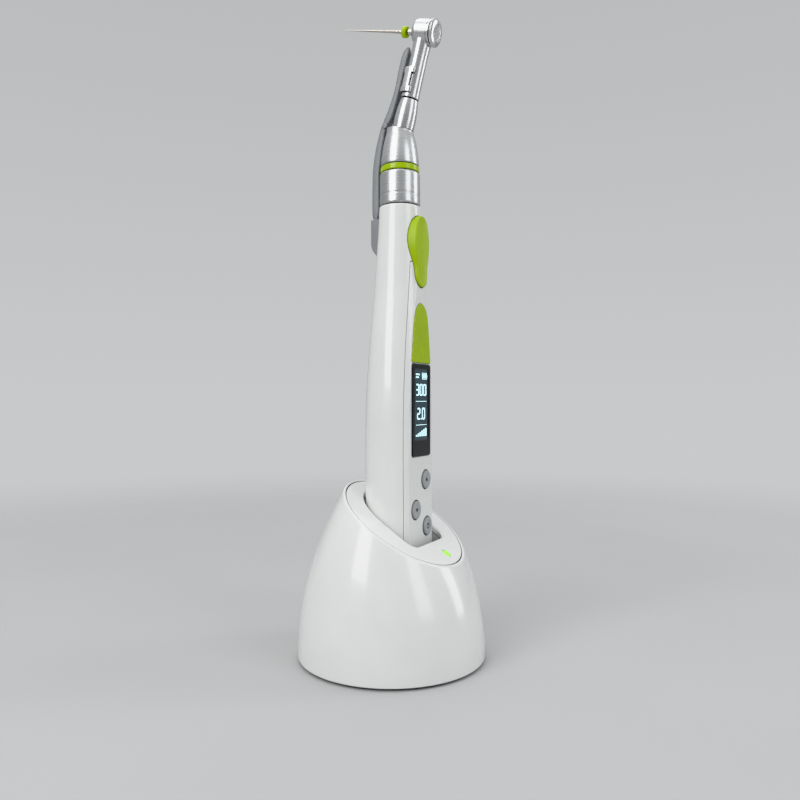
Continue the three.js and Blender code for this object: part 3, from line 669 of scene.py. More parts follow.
SLOT_MAT = {
    "white_gloss": W_GLOSS, "white_satin": W_SATIN, "lime_accent": LIME, "soft_key": KEY, "dark_window": WINDOW, "lcd": LCD,
    "steel_satin": STEEL, "steel_bright": BRIGHT, "file_alloy": NITI, "stop_silicone": SILICONE, "arm_polymer": ARM,
    "rubber_black": RUBBER, "black_plastic": BLACK, "contact_brass": BRASS, "circuit_board": BOARD, "battery_wrap": CELL,
    "ballast_iron": IRON, "led_clear": LED,
}
for sp in frame["record"]["subparts"]:
    o = N[sp["node"]]
    o.data.materials.clear()
    o.data.materials.append(SLOT_MAT[sp["material_slot"]])

# ------------------------------------------------------------------ charging base
K = 160
th = np.arange(K) * 2 * math.pi / K
CS, SN = np.cos(th), np.sin(th)


def skirt(t, inset=0.0, over=0.0, foot_z=FOOT_Z):
    """Ring of the base's outer skin at height share t, moved inwards by inset."""
    k = t * t
    foot, rx, ry = FOOT_R - inset, RIM_RX - inset, (RIM_RV - inset) * math.cos(TILT)
    x = ((1 - k) * foot + k * rx) * CS
    y = (1 - k) * foot * SN + k * (RIM_Y + ry * SN)
    z = foot_z + t * (RIM_Z + RIM_RV * math.sin(TILT) * SN + over - foot_z)
    return np.stack([x, y, z], 1)


def rim(inset=0.0, w=0.0):
    """Ring on the sloping top plane, inset in the plane and moved w along its normal."""
    u = (RIM_RX - inset) * CS
    v = (RIM_RV - inset) * SN
    p = np.stack([u, v, np.full(K, w)], 1)
    m = np.array(SLOPE)
    return p @ m[:3, :3].T + m[:3, 3]


def corner(a, p, b, steps=5):
    """Rings rounding the corner p between rings a and b."""
    return [(1 - t) ** 2 * a + 2 * t * (1 - t) * p + t * t * b for t in np.linspace(0, 1, steps)]


foot_out = skirt(0.0)
foot_in = skirt(0.0, 2.4)
rings = []
rings += corner(0.8 * foot_out + 0.2 * foot_in, foot_out, skirt(0.010), 5)
rings += [skirt(t) for t in np.linspace(0.012, 0.982, 56)]
top_edge = rim()
rings += corner(skirt(0.988), top_edge, rim(0.42), 6)
inner_edge = rim(1.0)
rings += corner(rim(0.72), inner_edge, rim(1.0, -0.3), 5)
rings += [rim(1.0 + 0.02 * w, -w) for w in (1.0, 2.0, 3.0)]
rings += [skirt(t, 2.4) for t in np.linspace(0.93, 0.03, 30)]
rings += corner(skirt(0.01, 2.4), foot_in, 0.5 * foot_out + 0.5 * foot_in, 4)
shell = skin(rings, closed=True, name="base_shell")
JACK = T(0, 36.4, 13.4) @ RX(math.pi / 2)
hole = lathe([(0, -14), (10.5, -14), (4.75, 0.62), (4.3, 1.1), (4.3, 9), (0, 9)], 64, name="cutter", m=T(0, 36.4, 13.4) @ RX(math.pi / 2))
boolean(shell, hole)
finish_piece(shell, "base_shell_fine", "base", W_GLOSS, ("base_shell",))

# top plate with the socket's mouth and the light's hole
U = np.stack([(RIM_RX - 1.35) * CS, (RIM_RV - 1.35) * SN], 1)
plate = slab(U, -2.2, 0.0, 0.35, 0.2, "base_top_plate", SLOPE, crown=0.0)
d = mouth(14.35, -13.5, 4.0, AXIS_Y)
ct = math.cos(TILT)
du = np.column_stack([d[:, 0], (d[:, 1] - RIM_Y) / ct])  # the vertical prism's trace on the plane
inv = np.array(SLOPE)[:3, :3]
offs = np.array(SLOPE)[:3, 3]


def on_plane(q, w):
    p = np.column_stack([q, np.full(len(q), w)])
    return p @ inv.T + offs


trace = on_plane(du, -0.55)
cut_rings = [on_plane(outline_grow(du, 0.55 + 2.0), 2.0), on_plane(outline_grow(du, 0.55), 0.0), on_plane(outline_grow(du, 0.16), -0.39), trace, trace - np.array([0, 0, 14.0])]
boolean(plate, skin(cut_rings, False, "cutter"))
LED_AT = SLOPE @ T(1.9, -21.0, 0)
boolean(plate, flared(circ(0, 0, 2.0, 48), 0.0, 8.0, 0.25, LED_AT))
finish_piece(plate, "base_top_plate_fine", "base", W_GLOSS, ("base_top_plate",))
lens = lathe([(0, -4.5), (1.7, -4.5, 0.1), (1.7, -0.35, 0.4), (1.1, 0.14, 0.4), (0, 0.26)], 48, name="led", m=LED_AT, steps=6)
finish_piece(lens, "status_led_fine", "base", LED, ("status_led_lens",))

# cradle cup
cup_in = dshape(14.3, -10.9, 1.5)
cup = slab(mouth(15.8, -14.95, 5.45, AXIS_Y), 19.2, 90, 0, 0.5, "cradle_cup")
boolean(cup, slab(np.column_stack([cup_in[:, 0], cup_in[:, 1] + AXIS_Y]), 21.7, 95, 0, 0.8, "cutter"))
boolean(cup, slab(mouth(14.3, -13.45, 3.95, AXIS_Y), 34.0, 95, 0, 0.9, "cutter"))
boolean(cup, boxm(-60, 60, -60, 60, -2.5, 80, SLOPE))
for s in (-1, 1):
    boolean(cup, lathe([(0, 10), (1.25, 10), (1.25, 21.3), (1.7, 21.75), (1.7, 30), (0, 30)], 32, name="cutter", m=T(s * PIN_X, AXIS_Y, 0)))
finish_piece(cup, "cradle_cup_fine", "base", W_SATIN, ("cradle_cup",))

# underside: plate, feet, screws
bottom = lathe([(0, 1.3), (34.6, 1.3, 0.3), (34.6, 3.2, 0.3), (0, 3.2)], 128, name="bottom")
for k in range(4):
    a = rad(45 + 90 * k)
    x, y = 31.2 * math.cos(a), 31.2 * math.sin(a)
    boolean(bottom, lathe([(0, -1), (3.4, -1), (3.4, 1.1), (3.1, 1.6), (3.1, 2.4), (1.6, 2.4), (1.6, 6), (0, 6)], 40, name="cutter", m=T(x, y, 0)))
    sc = lathe([(0, 0.9), (2.7, 0.9, 0.35), (2.7, 2.3, 0.1), (1.35, 2.3), (1.35, 9.5), (0.5, 10.6), (0, 10.6)], 40, name="screw", m=T(x, y, 0))
    boolean(sc, boxm(-1.9, 1.9, -0.32, 0.32, 0, 1.5, T(x, y, 0)))
    boolean(sc, boxm(-0.32, 0.32, -1.9, 1.9, 0, 1.5, T(x, y, 0)))
    finish_piece(sc, f"base_screw_{k + 1}_fine", "base", BRIGHT, (f"base_screw_{k + 1}",))
    b = rad(90 * k)
    ft = lathe([(0, 0), (3.9, 0, 0.5), (4.6, 0.5, 0.25), (4.6, 1.2), (0, 1.2)], 48, name="foot", m=T(28.5 * math.cos(b), 28.5 * math.sin(b), 0))
    finish_piece(ft, f"rubber_foot_{k + 1}_fine", "base", RUBBER, (f"rubber_foot_{k + 1}",))
finish_piece(bottom, "base_bottom_plate_fine", "base", W_SATIN, ("base_bottom_plate",))
jack = lathe([(2.7, 0.0, 0.25), (3.9, 0.0, 0.3), (3.9, 9.0), (2.7, 9.0)], 56, True, name="jack", m=JACK)
back = lathe([(0, 7.4), (3.2, 7.4), (3.2, 8.9), (0, 8.9)], 40, name="jackback", m=JACK)
pin = lathe([(0, 1.2), (0.55, 1.2, 0.4), (0.95, 1.8, 0.2), (0.95, 8.0), (0, 8.0)], 32, name="jackpin", m=JACK)
body = slab(rrect(-4.6, 4.6, 21.5, 31.2, 0.5), 9.3, 18.0, 0.3, 0.2, "jackbody")
boolean(body, lathe([(0, -2), (3.95, -2), (3.95, 8.95), (0, 8.95)], 40, name="cutter", m=JACK))
finish_piece(merge([jack, back, body]), "power_jack_fine", "base", BLACK, ("power_jack",))
finish_piece(pin, "power_jack_pin", "base", BRASS)

# charging pins
for side, s in (("left", -1), ("right", 1)):
    p = lathe([(0, 9.6), (0.9, 9.6, 0.2), (0.9, 16.2), (1.9, 16.2, 0.15), (1.9, 17.4, 0.15), (1.05, 17.4), (1.05, 21.3, 0.3), (0.6, 21.8, 0.3), (0, 21.85)], 40, name="pin", m=T(s * PIN_X, AXIS_Y, 0))
    finish_piece(p, f"contact_pin_{side}_fine", f"pin_{side}", BRASS, (f"contact_pin_{side}",))

# ------------------------------------------------------------------ handpiece body
zr = catmull([(r, z) for z, r in BODY], 400)


def R(z):
    return float(np.interp(z, zr[:, 1], zr[:, 0]))


KB = 192
tb = np.arange(KB) * 2 * math.pi / KB


def section(z, flat=FLAT_Y, inset=0.0, k=0.07):
    """The body's section at height z: a circle cut by the flat front with a small rounding."""
    r = R(z) - inset
    f = flat + inset
    out = np.empty((KB, 3))
    for i, a in enumerate(tb):
        rho = r
        s = math.sin(a)
        if s < -1e-6 and flat is not None:
            line = f / s
            e = (line - r) / k
            rho = r - k * math.log1p(math.exp(-e)) if e > -30 else line
            if e <= -30:
                rho = line
        out[i] = (rho * math.cos(a), rho * s, z)
    return out


def full_body(z0, z1, n):
    zs = np.linspace(z0, z1, n)
    rs = [section(zs[0], inset=0.35) * 1.0]
    rs[0][:, 2] = z0
    rs += [section(zs[0] + 0.12, inset=0.1), section(zs[0] + 0.35)]
    rs[1][:, 2] = z0 + 0.1
    rs += [section(z) for z in zs[1:-1]]
    e1, e2, e3 = section(z1 - 0.35), section(z1 - 0.1, inset=0.1), section(z1, inset=0.35)
    rs += [e1, e2, e3]
    return rs


# thumb-switch outline
pad_half = [(0, 175.6), (2.2, 175.1), (4.0, 173.4), (5.2, 170.6), (5.85, 167.2), (6.0, 164.4), (5.75, 161.4), (5.2, 158.6), (4.6, 156.4), (4.3, 154.4), (4.25, 152.2), (3.9, 150.0), (2.8, 148.4), (0, 147.5)]
pad = catmull(pad_half[::-1] + [(-x, z) for x, z in pad_half[1:-1]], 150, True)

outer = skin(full_body(24.8, 180.0, 150), name="handle_shell", m=HP)
zi = np.linspace(15, 173.6, 60)
ang = np.arange(96) * 2 * math.pi / 96
inner_rings = [np.stack([(R(max(z, 22)) - 1.6) * np.cos(ang), (R(max(z, 22)) - 1.6) * np.sin(ang), np.full(96, z)], 1) for z in zi]
inner_rings += [np.stack([6.2 * np.cos(ang), 6.2 * np.sin(ang), np.full(96, z)], 1) for z in (173.8, 185)]
boolean(outer, skin(inner_rings, name="cutter", m=HP))
boolean(outer, boxm(-30, 30, -40, SPLIT_Y, 0, 157.25, HP))
PADCUT = HP @ FF
pad_cut_rings = []
for g, yf in ((0.75 + 8, 20.0), (0.75, 12.0), (0.5, 10.2), (0.3, 9.2), (0.3, 3.6)):
    q = outline_grow(pad, g) if g < 2 else outline_grow(pad, 0.75)
    pad_cut_rings.append(np.column_stack([q, np.full(len(q), yf)]))
boolean(outer, skin(pad_cut_rings, False, "cutter", PADCUT))
sock_cut = slab(rrect(-3.0, 3.0, 160.3, 176.5, 0.9), -20.0, -6.0, 0, 0, "cutter", HP @ FF)
boolean(outer, sock_cut)
finish_piece(outer, "handle_shell_fine", "handpiece", W_GLOSS, ("handle_shell",))

cover = skin(full_body(24.8, 157.0, 120), name="front_cover", m=HP)
boolean(cover, boxm(-30, 30, -40, SPLIT_Y - 0.15, 0, 200, HP), "INTERSECT")
win = rrect(-8.0, 8.0, 80.7, 117.0, 1.1)
TRIM = [(8.0, 118.4), (7.75, 120.4), (7.2, 125.0), (6.55, 130.0), (5.85, 134.0), (4.95, 137.0), (3.5, 139.3), (1.8, 140.6), (0, 141.0)]
arch = catmull(TRIM + [(-x, z) for x, z in TRIM[-2::-1]], 160)
q4 = np.linspace(0, math.pi / 2, 8)
c_left = np.stack([-7.3 - 0.7 * np.cos(q4), 118.3 - 0.7 * np.sin(q4)], 1)
c_right = np.stack([7.3 + 0.7 * np.sin(q4), 118.3 - 0.7 * np.cos(q4)], 1)
trim = resample(np.concatenate([arch, c_left, c_right]), 240)
boolean(cover, flared(outline_grow(win, 0.12), 9.4, 0.5, 0.12, HP @ FF))
boolean(cover, flared(outline_grow(trim, 0.12), 9.4, 0.5, 0.12, HP @ FF))
boolean(cover, boxm(-6.3, 6.3, -20, 0, 86.0, 116.0, HP))
boolean(cover, skin(pad_cut_rings, False, "cutter", PADCUT))
KEYS = (("key_up", "up_key", 4.3, 71.1), ("key_down", "down_key", -4.3, 59.9), ("key_set", "set_key", 5.5, 52.3))
for _, _, x, z in KEYS:
    boolean(cover, flared(circ(0, 0, 3.9, 72) + [x, z], 9.4, 4.0, 0.18, HP @ FF))
finish_piece(cover, "front_cover_fine", "handpiece", W_GLOSS, ("front_cover",))

# trim and display, a little proud of the flat
tr = slab(trim, 9.0, 9.75, 0.22, 0, "panel_trim", HP @ FF, steps=5)
finish_piece(tr, "panel_trim_fine", "handpiece", LIME, ("panel_trim",))
wd = slab(win, 9.0, 9.75, 0.22, 0, "display_window", HP @ FF, steps=5)
boolean(wd, flared(rrect(-6.0, 6.0, 87.1, 115.0, 0.7), 9.75, 0.45, 0.12, HP @ FF))
finish_piece(wd, "display_window_fine", "handpiece", WINDOW, ("display_window",))
face = slab(rrect(-5.95, 5.95, 87.15, 114.95, 0.65), 9.27, 9.52, 0.05, 0, "lcd_face", HP @ FF, steps=2)
finish_piece(face, "lcd_face_fine", "handpiece", LCD)


def bar(x0, x1, z0, z1, y=9.53, r=0.12, h=0.05):
    return slab(rrect(x0, x1, z0, z1, min(r, 0.45 * (x1 - x0), 0.45 * (z1 - z0)), 3), y - 0.02, y + h, 0.02, 0, "glyph", HP @ FF, steps=1)


SEGS = {0: "abcdef", 1: "bc", 2: "abged", 3: "abgcd", 4: "fgbc", 5: "afgcd", 6: "afgedc", 7: "abc", 8: "abcdefg", 9: "abcdfg"}


def digit(n, x, z, w, h, t):
    out = []
    g = 0.12
    for s in SEGS[n]:
        if s in "agd":
            zz = {"a": z + h - t, "g": z + (h - t) / 2, "d": z}[s]
            out.append(bar(x + t * 0.6 + g, x + w - t * 0.6 - g, zz, zz + t))
        else:
            xx = x + w - t if s in "bc" else x
            lo = z + h / 2 + g / 2 if s in "bf" else z + t * 0.5
            hi = z + h - t * 0.5 if s in "bf" else z + h / 2 - g / 2
            out.append(bar(xx, xx + t, lo, hi))
    return out


g = []
for i, n in enumerate((3, 0, 0)):
    g += digit(n, -4.6 + i * 3.2, 104.6, 2.6, 4.6, 0.55)
g += digit(2, -3.6, 95.2, 2.6, 4.6, 0.55)
g += [bar(-0.45, 0.15, 95.2, 95.8)]
g += digit(0, 0.7, 95.2, 2.6, 4.6, 0.55)
g += [bar(-4.6, 4.6, 102.3, 102.45), bar(-4.6, 4.6, 93.0, 93.15)]
for i in range(4):
    g += [bar(1.2 + i * 0.85, 1.75 + i * 0.85, 111.6, 113.2)]
g += [bar(0.85, 4.85, 113.5, 113.65), bar(0.85, 4.85, 111.15, 111.3), bar(0.85, 1.0, 111.3, 113.5), bar(4.7, 4.85, 111.3, 113.5), bar(4.85, 5.1, 112.0, 112.8)]
for i in range(6):
    g += [bar(-4.6 + i * 1.6, -3.5 + i * 1.6, 88.6, 88.6 + 0.6 + 0.5 * i)]
g += [bar(-4.6, -2.2, 111.6, 112.1), bar(-4.6, -1.4, 112.7, 113.2)]
finish_piece(merge(g), "lcd_glyphs", "handpiece", GLYPH, weighted=False)

# keys with a dished top and a plain symbol
for node, bodyname, x, z in KEYS:
    k = lathe([(0, 6.9), (3.6, 6.9), (3.6, 9.85, 0.55), (2.9, 10.1, 0.4), (2.1, 9.98, 0.6), (0, 9.8)], 72, name="key", m=HP @ FF @ T(x, z, 0), steps=6)
    finish_piece(k, node + "_fine", bodyname, KEY, (node,))
    if node == "key_set":
        sym = lathe([(0.75, 9.7), (1.15, 9.7), (1.15, 9.9), (0.75, 9.9)], 40, True, name="sym", m=HP @ FF @ T(x, z, 0))
        st = slab(rrect(-0.18, 0.18, 0.25, 1.35, 0.1, 2), 9.7, 9.92, 0, 0, "sym2", HP @ FF @ T(x, z, 0))
        sym = merge([sym, st])
    else:
        tri = np.array([(-1.05, -0.6), (1.05, -0.6), (0, 1.0)]) * (1 if node == "key_up" else -1)
        tri = np.concatenate([tri[i] + (tri[(i + 1) % 3] - tri[i]) * np.linspace(0.08, 0.92, 6)[:, None] for i in range(3)])
        sym = slab(tri, 9.7, 9.9, 0, 0, "sym", HP @ FF @ T(x, z, 0))
    finish_piece(sym, node + "_symbol", bodyname, INK, weighted=False)

# thumb switch: a soft-edged pad, hollowed a little where the thumb rests
PT = HP @ FF
prow = []
for gr, yf in ((-0.1, 4.95), (0.0, 5.3), (0.0, 9.7), (-0.03, 9.92), (-0.11, 10.08), (-0.24, 10.2), (-0.42, 10.27), (-0.62, 10.3)):
    q = outline_grow(pad, gr) if gr else pad
    prow.append(np.column_stack([q, np.full(len(q), yf)]))
q = prow[-1][:, :2]
spine = np.column_stack([np.zeros(len(q)), np.clip(q[:, 1], 151.5, 170.5)])
for f, dy in ((0.93, -0.04), (0.85, -0.11), (0.7, -0.23), (0.5, -0.34), (0.3, -0.41), (0.12, -0.44)):
    prow.append(np.column_stack([spine + (q - spine) * f, np.full(len(q), 10.3 + dy)]))
sw = skin(prow, False, "main_switch", PT)
boolean(sw, lathe([(0, 140), (7.25, 140), (7.25, 190), (0, 190)], 96, name="cutter", m=HP))
finish_piece(sw, "main_switch_fine", "switch", LIME_SOFT, ("main_switch",))

# end cap and contacts
ec = slab(dshape(13.2, -9.4, 1.2), 22.0, 24.5, 0.15, 0.6, "end_cap", HP)
plug = slab(dshape(11.4, -7.1, 1.0), 24.4, 27.5, 0.4, 0, "plug", HP)
boolean(ec, plug, "UNION")
for s in (-1, 1):
    boolean(ec, lathe([(0, 20), (2.6, 20), (2.6, 22.0), (2.3, 22.3), (2.3, 23.0), (0, 23.0)], 48, name="cutter", m=HP @ T(s * PIN_X, 0, 0)))
finish_piece(ec, "end_cap_fine", "handpiece", W_SATIN, ("end_cap",))
for side, s in (("left", -1), ("right", 1)):
    c = lathe([(0, 22.0), (2.0, 22.0, 0.25), (2.0, 22.8), (0, 22.8)], 48, name="contact", m=HP @ T(s * PIN_X, 0, 0))
    finish_piece(c, f"charge_contact_{side}_fine", "handpiece", BRASS, (f"charge_contact_{side}",))

# coupling nose
nose = lathe([(4.4, 171.2), (6.5, 171.2, 0.2), (6.5, 173.3, 0.2), (6.0, 173.5), (6.0, 187.6, 0.08), (5.5, 187.6), (5.5, 189.2), (6.0, 189.2, 0.08), (6.0, 193.0, 0.1), (5.85, 193.2, 0.1), (5.85, 194.0, 0.1), (6.0, 194.2, 0.1), (6.0, 198.4, 0.5), (5.5, 199.3, 0.3), (4.4, 199.3)], 96, True, name="nose", m=HP)
finish_piece(nose, "coupling_nose_fine", "handpiece", BRIGHT, ("coupling_nose",))
oring = lathe([(5.85 + 0.3 * math.cos(a), 188.4 + 0.3 * math.sin(a)) for a in np.linspace(0, 2 * math.pi, 16, endpoint=False)], 96, True, name="oring", m=HP)
finish_piece(oring, "nose_o_ring_fine", "handpiece", RUBBER, ("nose_o_ring",))

# rear socket for the electrode arm
prof = arcs([(6.9, 160.6), (8.9, 160.6, 1.2), (12.1, 164.3, 2.4), (12.1, 176.2, 0.7), (6.9, 176.2)], 8)
prof = np.array(prof)
side = slab(prof, -2.7, 2.7, 0.6, 0.6, "socket", HP @ Matrix(((0, 0, 1, 0), (1, 0, 0, 0), (0, 1, 0, 0), (0, 0, 0, 1))), steps=5)
boolean(side, boxm(-2.1, 2.1, 9.2, 11.3, 168.3, 180, HP))
boolean(side, lathe([(0, 100), (8.05, 100), (7.95, 200), (0, 200)], 96, name="cutter", m=HP))
finish_piece(side, "electrode_socket_fine", "handpiece", ARM, ("electrode_socket",))

# ------------------------------------------------------------------ contra-angle
sl = lathe([(6.35, 180.4), (7.75, 180.4, 0.25), (8.15, 180.95, 0.4), (8.13, 184.0, 0.2), (8.05, 184.2, 0.1), (8.05, 184.7, 0.1), (8.13, 184.9, 0.2), (8.05, 192.9, 0.3), (7.75, 193.5, 0.2), (6.35, 193.5)], 128, True, name="sleeve", m=HP)
finish_piece(sl, "coupling_sleeve_fine", "contra_angle", STEEL, ("coupling_sleeve",))
ar = lathe([(6.35, 193.8), (7.72, 193.8, 0.2), (7.85, 194.1, 0.2), (7.8, 195.8, 0.2), (7.6, 196.1, 0.15), (6.35, 196.1)], 128, True, name="ring", m=HP)
finish_piece(ar, "accent_ring_fine", "contra_angle", LIME, ("accent_ring",))
cone_z = catmull([(7.65, 196.9), (7.5, 199.5), (6.95, 203.5), (6.25, 207.0), (5.6, 209.5), (5.2, 212.5)], 34)
cone = lathe([(6.35, 196.4), (7.45, 196.4, 0.15)] + [(r, z) for r, z in cone_z] + [(0.4, 212.5), (0.4, 209.6), (3.9, 209.6), (3.9, 204.4), (3.5, 204.4), (3.5, 201.4), (6.35, 200.2)], 128, True, name="cone", m=HP)
SPLIT = HP @ T(0, 0, 211.05) @ RX(rad(11))
boolean(cone, boxm(-30, 30, -30, 30, 0, 60, SPLIT))
boolean(cone, lathe([(0, 0), (2.45, 0), (2.45, 20), (0, 20)], 64, name="cutter", m=NK))
finish_piece(cone, "lower_cone_fine", "contra_angle", STEEL, ("lower_cone",))

# middle neck, cut to the cone's sloping end
mz = catmull([(4.2, 2.6), (4.3, 4.6), (4.38, 8.0), (4.25, 11.5), (3.92, 14.3), (3.52, 16.45)], 40)
mid = lathe([(2.45, 2.6)] + [(r, z) for r, z in mz] + [(3.44, 16.6), (3.3, 16.7), (2.45, 16.7)], 128, True, name="middle", m=NK)
boolean(mid, boxm(-30, 30, -30, 30, -60, 0.3, SPLIT))
finish_piece(mid, "middle_neck_fine", "contra_angle", STEEL_NECK, ("middle_neck",))

# head and upper neck: joined, remeshed and eased, so that the neck flows into the head
hz = catmull([(3.7, 17.35), (3.62, 19), (3.5, 27), (3.45, 33), (3.6, 37), (3.75, 39)], 40)
neckp = lathe([(0, 17.0), (3.58, 17.0, 0.08), (3.7, 17.15, 0.08)] + [(r, z) for r, z in hz] + [(3.75, 42.9), (0, 42.9)], 128, name="upper", m=NK)
headp = lathe([(0, -4.0), (4.88, -4.0, 0.1), (5.0, -3.8, 0.15), (5.0, 2.9, 0.8), (4.1, 4.0, 0.8), (0, 4.0)], 128, name="headp", m=HD, steps=8)
boolean(neckp, headp, "UNION")
rm = neckp.modifiers.new("r", "REMESH")
rm.mode, rm.voxel_size = "VOXEL", 0.14
cs = neckp.modifiers.new("s", "SMOOTH")
cs.factor, cs.iterations = 0.5, 7
apply_mods(neckp)
boolean(neckp, lathe([(0, -10), (4.35, -10), (4.35, 3.0), (2.35, 3.0), (2.35, 3.65), (2.65, 4.0), (2.65, 10), (0, 10)], 96, name="cutter", m=HD))
boolean(neckp, lathe([(0, 5), (2.45, 5), (2.45, 40.9), (0, 40.9)], 64, name="cutter", m=NK))
for gz in (-2.9,):
    boolean(neckp, lathe([(4.86, gz - 0.13), (5.1, gz - 0.13), (5.1, gz + 0.13), (4.86, gz + 0.13)], 128, True, name="cutter", m=HD))
finish_piece(neckp, "upper_neck_head_fine", "contra_angle", STEEL_NECK, ("upper_neck_head",), sharp=40, weighted=False)
cap = lathe([(0, -5.52), (2.2, -5.54, 0.5), (2.9, -5.6, 0.1), (3.0, -5.42, 0.05), (3.2, -5.42, 0.05), (3.3, -5.58, 0.08), (4.4, -5.35, 0.6), (5.1, -4.95, 0.3), (5.3, -4.7, 0.15), (5.3, -4.55, 0.1), (4.0, -4.5), (4.0, -4.05, 0.1), (2.2, -4.05, 0.1), (2.2, -4.75), (0, -4.75)], 128, name="cap", m=HD, steps=7)
finish_piece(cap, "push_cap_fine", "push_cap", STEEL_HEAD, ("push_cap",))

# file: latch shank, hub and a fluted, tapered blade
sh = lathe([(0, -4.1), (1.175, -4.1, 0.3), (1.175, 6.9, 0.15), (1.175, 7.4, 0.3), (0.8, 7.9, 0.2), (0.7, 8.6), (0, 8.6)], 64, name="shank", m=HD)
blade_rings = []
KF = 36
for f in np.concatenate([np.linspace(8.2, 12.0, 8), np.linspace(12.2, 39.2, 420)]):
    if f < 12.0:
        r = 0.72
        depth = 0.0
    else:
        r = 0.66 + (0.125 - 0.66) * (f - 12.0) / 27.2
        depth = min(1, (f - 12.0) / 1.5) * 0.34
    pitch = 1.5 + 1.6 * (39.2 - f) / 27.2
    turn = 0 if f < 12 else -2 * math.pi * (f - 12.0) / pitch * 0.55
    a = np.arange(KF) * 2 * math.pi / KF
    lobe = 0.5 + 0.5 * np.cos(3 * (a - turn))
    rr = r * (1 - depth * (1 - lobe) ** 1.6)
    blade_rings.append(np.stack([rr * np.cos(a), rr * np.sin(a), np.full(KF, f)], 1))
blade_rings.append(blade_rings[-1] * [0.3, 0.3, 1] + [0, 0, 0.28])
blade = skin(blade_rings, False, "blade", HD)
finish_piece(merge([sh, blade]), "endo_file_fine", "file", NITI, ("endo_file",), weighted=False)
stp = lathe([(0.86, 7.9, 0.2), (2.15, 7.9, 0.45), (2.15, 9.9, 0.45), (0.86, 9.9, 0.2)], 64, True, name="stop", m=HD, steps=6)
finish_piece(stp, "file_stopper_fine", "stopper", SILICONE, ("file_stopper",))

# electrode arm: outer and inner lines in the y-z plane of the handpiece
pairs = [((12.15, 176.9), (9.05, 177.1)), ((12.22, 180.0), (8.78, 180.0)), ((12.25, 184.0), (8.74, 184.0)), ((12.18, 190.0), (8.7, 190.0)), ((12.0, 195.2), (8.65, 195.0)), ((11.5, 200.0), (8.15, 199.4)), ((10.5, 205.3), (7.35, 204.8)), ((9.45, 209.0), (6.5, 208.7)), ((8.3, 212.7), (5.85, 211.9)), ((7.2, 215.1), (4.4, 214.2)), ((5.9, 217.8), (2.75, 216.9)), ((4.3, 221.0), (1.25, 221.0)), ((1.9, 227.3), (-0.8, 227.3)), ((0.33, 234.2), (-2.7, 234.2)), ((-1.0, 239.4), (-4.0, 239.0)), ((-2.1, 242.6), (-4.9, 241.8)), ((-3.1, 244.2), (-5.1, 243.1))]
st = catmull([(*a, *b) for a, b in pairs], 90)
KA = 40
ta = np.arange(KA) * 2 * math.pi / KA
arm_rings = []
for i, (y1, z1, y0, z0) in enumerate(st):
    c = np.array([(y0 + y1) / 2, (z0 + z1) / 2])
    v = np.array([y1 - y0, z1 - z0]) / 2
    w = 1.75 * (1 - 0.25 * max(0, i - 70) / 20)
    e = 0.45
    k = 1.0
    if i < 4:
        k = (0.80, 0.93, 0.98, 1.0)[i]
    if i > 84:
        k = (0.96, 0.9, 0.8, 0.62, 0.35)[i - 85]
    cx = np.sign(np.cos(ta)) * np.abs(np.cos(ta)) ** e
    cy = np.sign(np.sin(ta)) * np.abs(np.sin(ta)) ** e
    arm_rings.append(np.stack([w * k * cx, c[0] + v[0] * k * cy, c[1] + v[1] * k * cy], 1))
arm = skin(arm_rings, False, "arm", HP)
tab = slab(rrect(-1.75, 1.75, 9.5, 11.0, 0.4), 169.2, 178.5, 0, 0.4, "tab", HP)
stud = lathe([(0, -2.35), (1.15, -2.35, 0.25), (1.15, 2.35, 0.25), (0, 2.35)], 40, name="stud", m=HP @ T(0, 5.9, 213.6) @ RY(math.pi / 2))
boolean(arm, tab, "UNION")
boolean(arm, stud, "UNION")
finish_piece(arm, "electrode_arm_fine", "contra_angle", ARM, ("electrode_arm",), sharp=40)

# spring clip
def claw(s0, s1, a0, a1, r0=3.8, r1=4.6, n=40):
    a = np.radians(np.linspace(a0, a1, n))
    o = np.stack([r1 * np.cos(a), r1 * np.sin(a)], 1)
    i = np.stack([r0 * np.cos(a), r0 * np.sin(a)], 1)[::-1]
    e0 = math.radians(a1)
    rm_, rw = (r0 + r1) / 2, (r1 - r0) / 2
    tip = np.array([[rm_ * math.cos(e0), rm_ * math.sin(e0)]]) + rw * np.array([[math.cos(e0 + t), math.sin(e0 + t)] for t in np.linspace(0.3, math.pi - 0.3, 6)])
    return slab(np.concatenate([o, tip, i]), s0, s1, 0.22, 0.22, "claw", NK, steps=3)


clip = claw(18.7, 20.9, 124, 200)
boolean(clip, claw(26.1, 28.3, 124, 200), "UNION")
boolean(clip, claw(19.9, 27.1, 146, 183), "UNION")
finish_piece(clip, "arm_clip_fine", "contra_angle", BRIGHT, ("arm_clip",))

# ------------------------------------------------------------------ stage, light, camera
bpy.ops.mesh.primitive_plane_add(size=6, location=(0, 0, 0))
floor = bpy.context.object
floor.name = "floor"
fm = Mat("floor_pale")
fm.color(fm.mix(fm.remap(fm.noise(0.004, 2), 0, 1), (0.485, 0.49, 0.495), (0.51, 0.515, 0.52)))
fm.set(Roughness=1.0, Specular_IOR_Level=0.0)
fade = fm.t.nodes.new("ShaderNodeVectorMath")
fade.operation = "LENGTH"
fm.link(fm.tc.outputs["Object"], fade.inputs[0])
clear = fm.t.nodes.new("ShaderNodeBsdfTransparent")
mixs = fm.t.nodes.new("ShaderNodeMixShader")
fr = fm.t.nodes.new("ShaderNodeMapRange")
fr.interpolation_type = "SMOOTHERSTEP"
fr.inputs["From Min"].default_value, fr.inputs["From Max"].default_value = 0.10, 0.85
fm.link(fade.outputs["Value"], fr.inputs["Value"])
fm.link(fr.outputs[0], mixs.inputs[0])
fm.link(fm.b.outputs[0], mixs.inputs[1])
fm.link(clear.outputs[0], mixs.inputs[2])
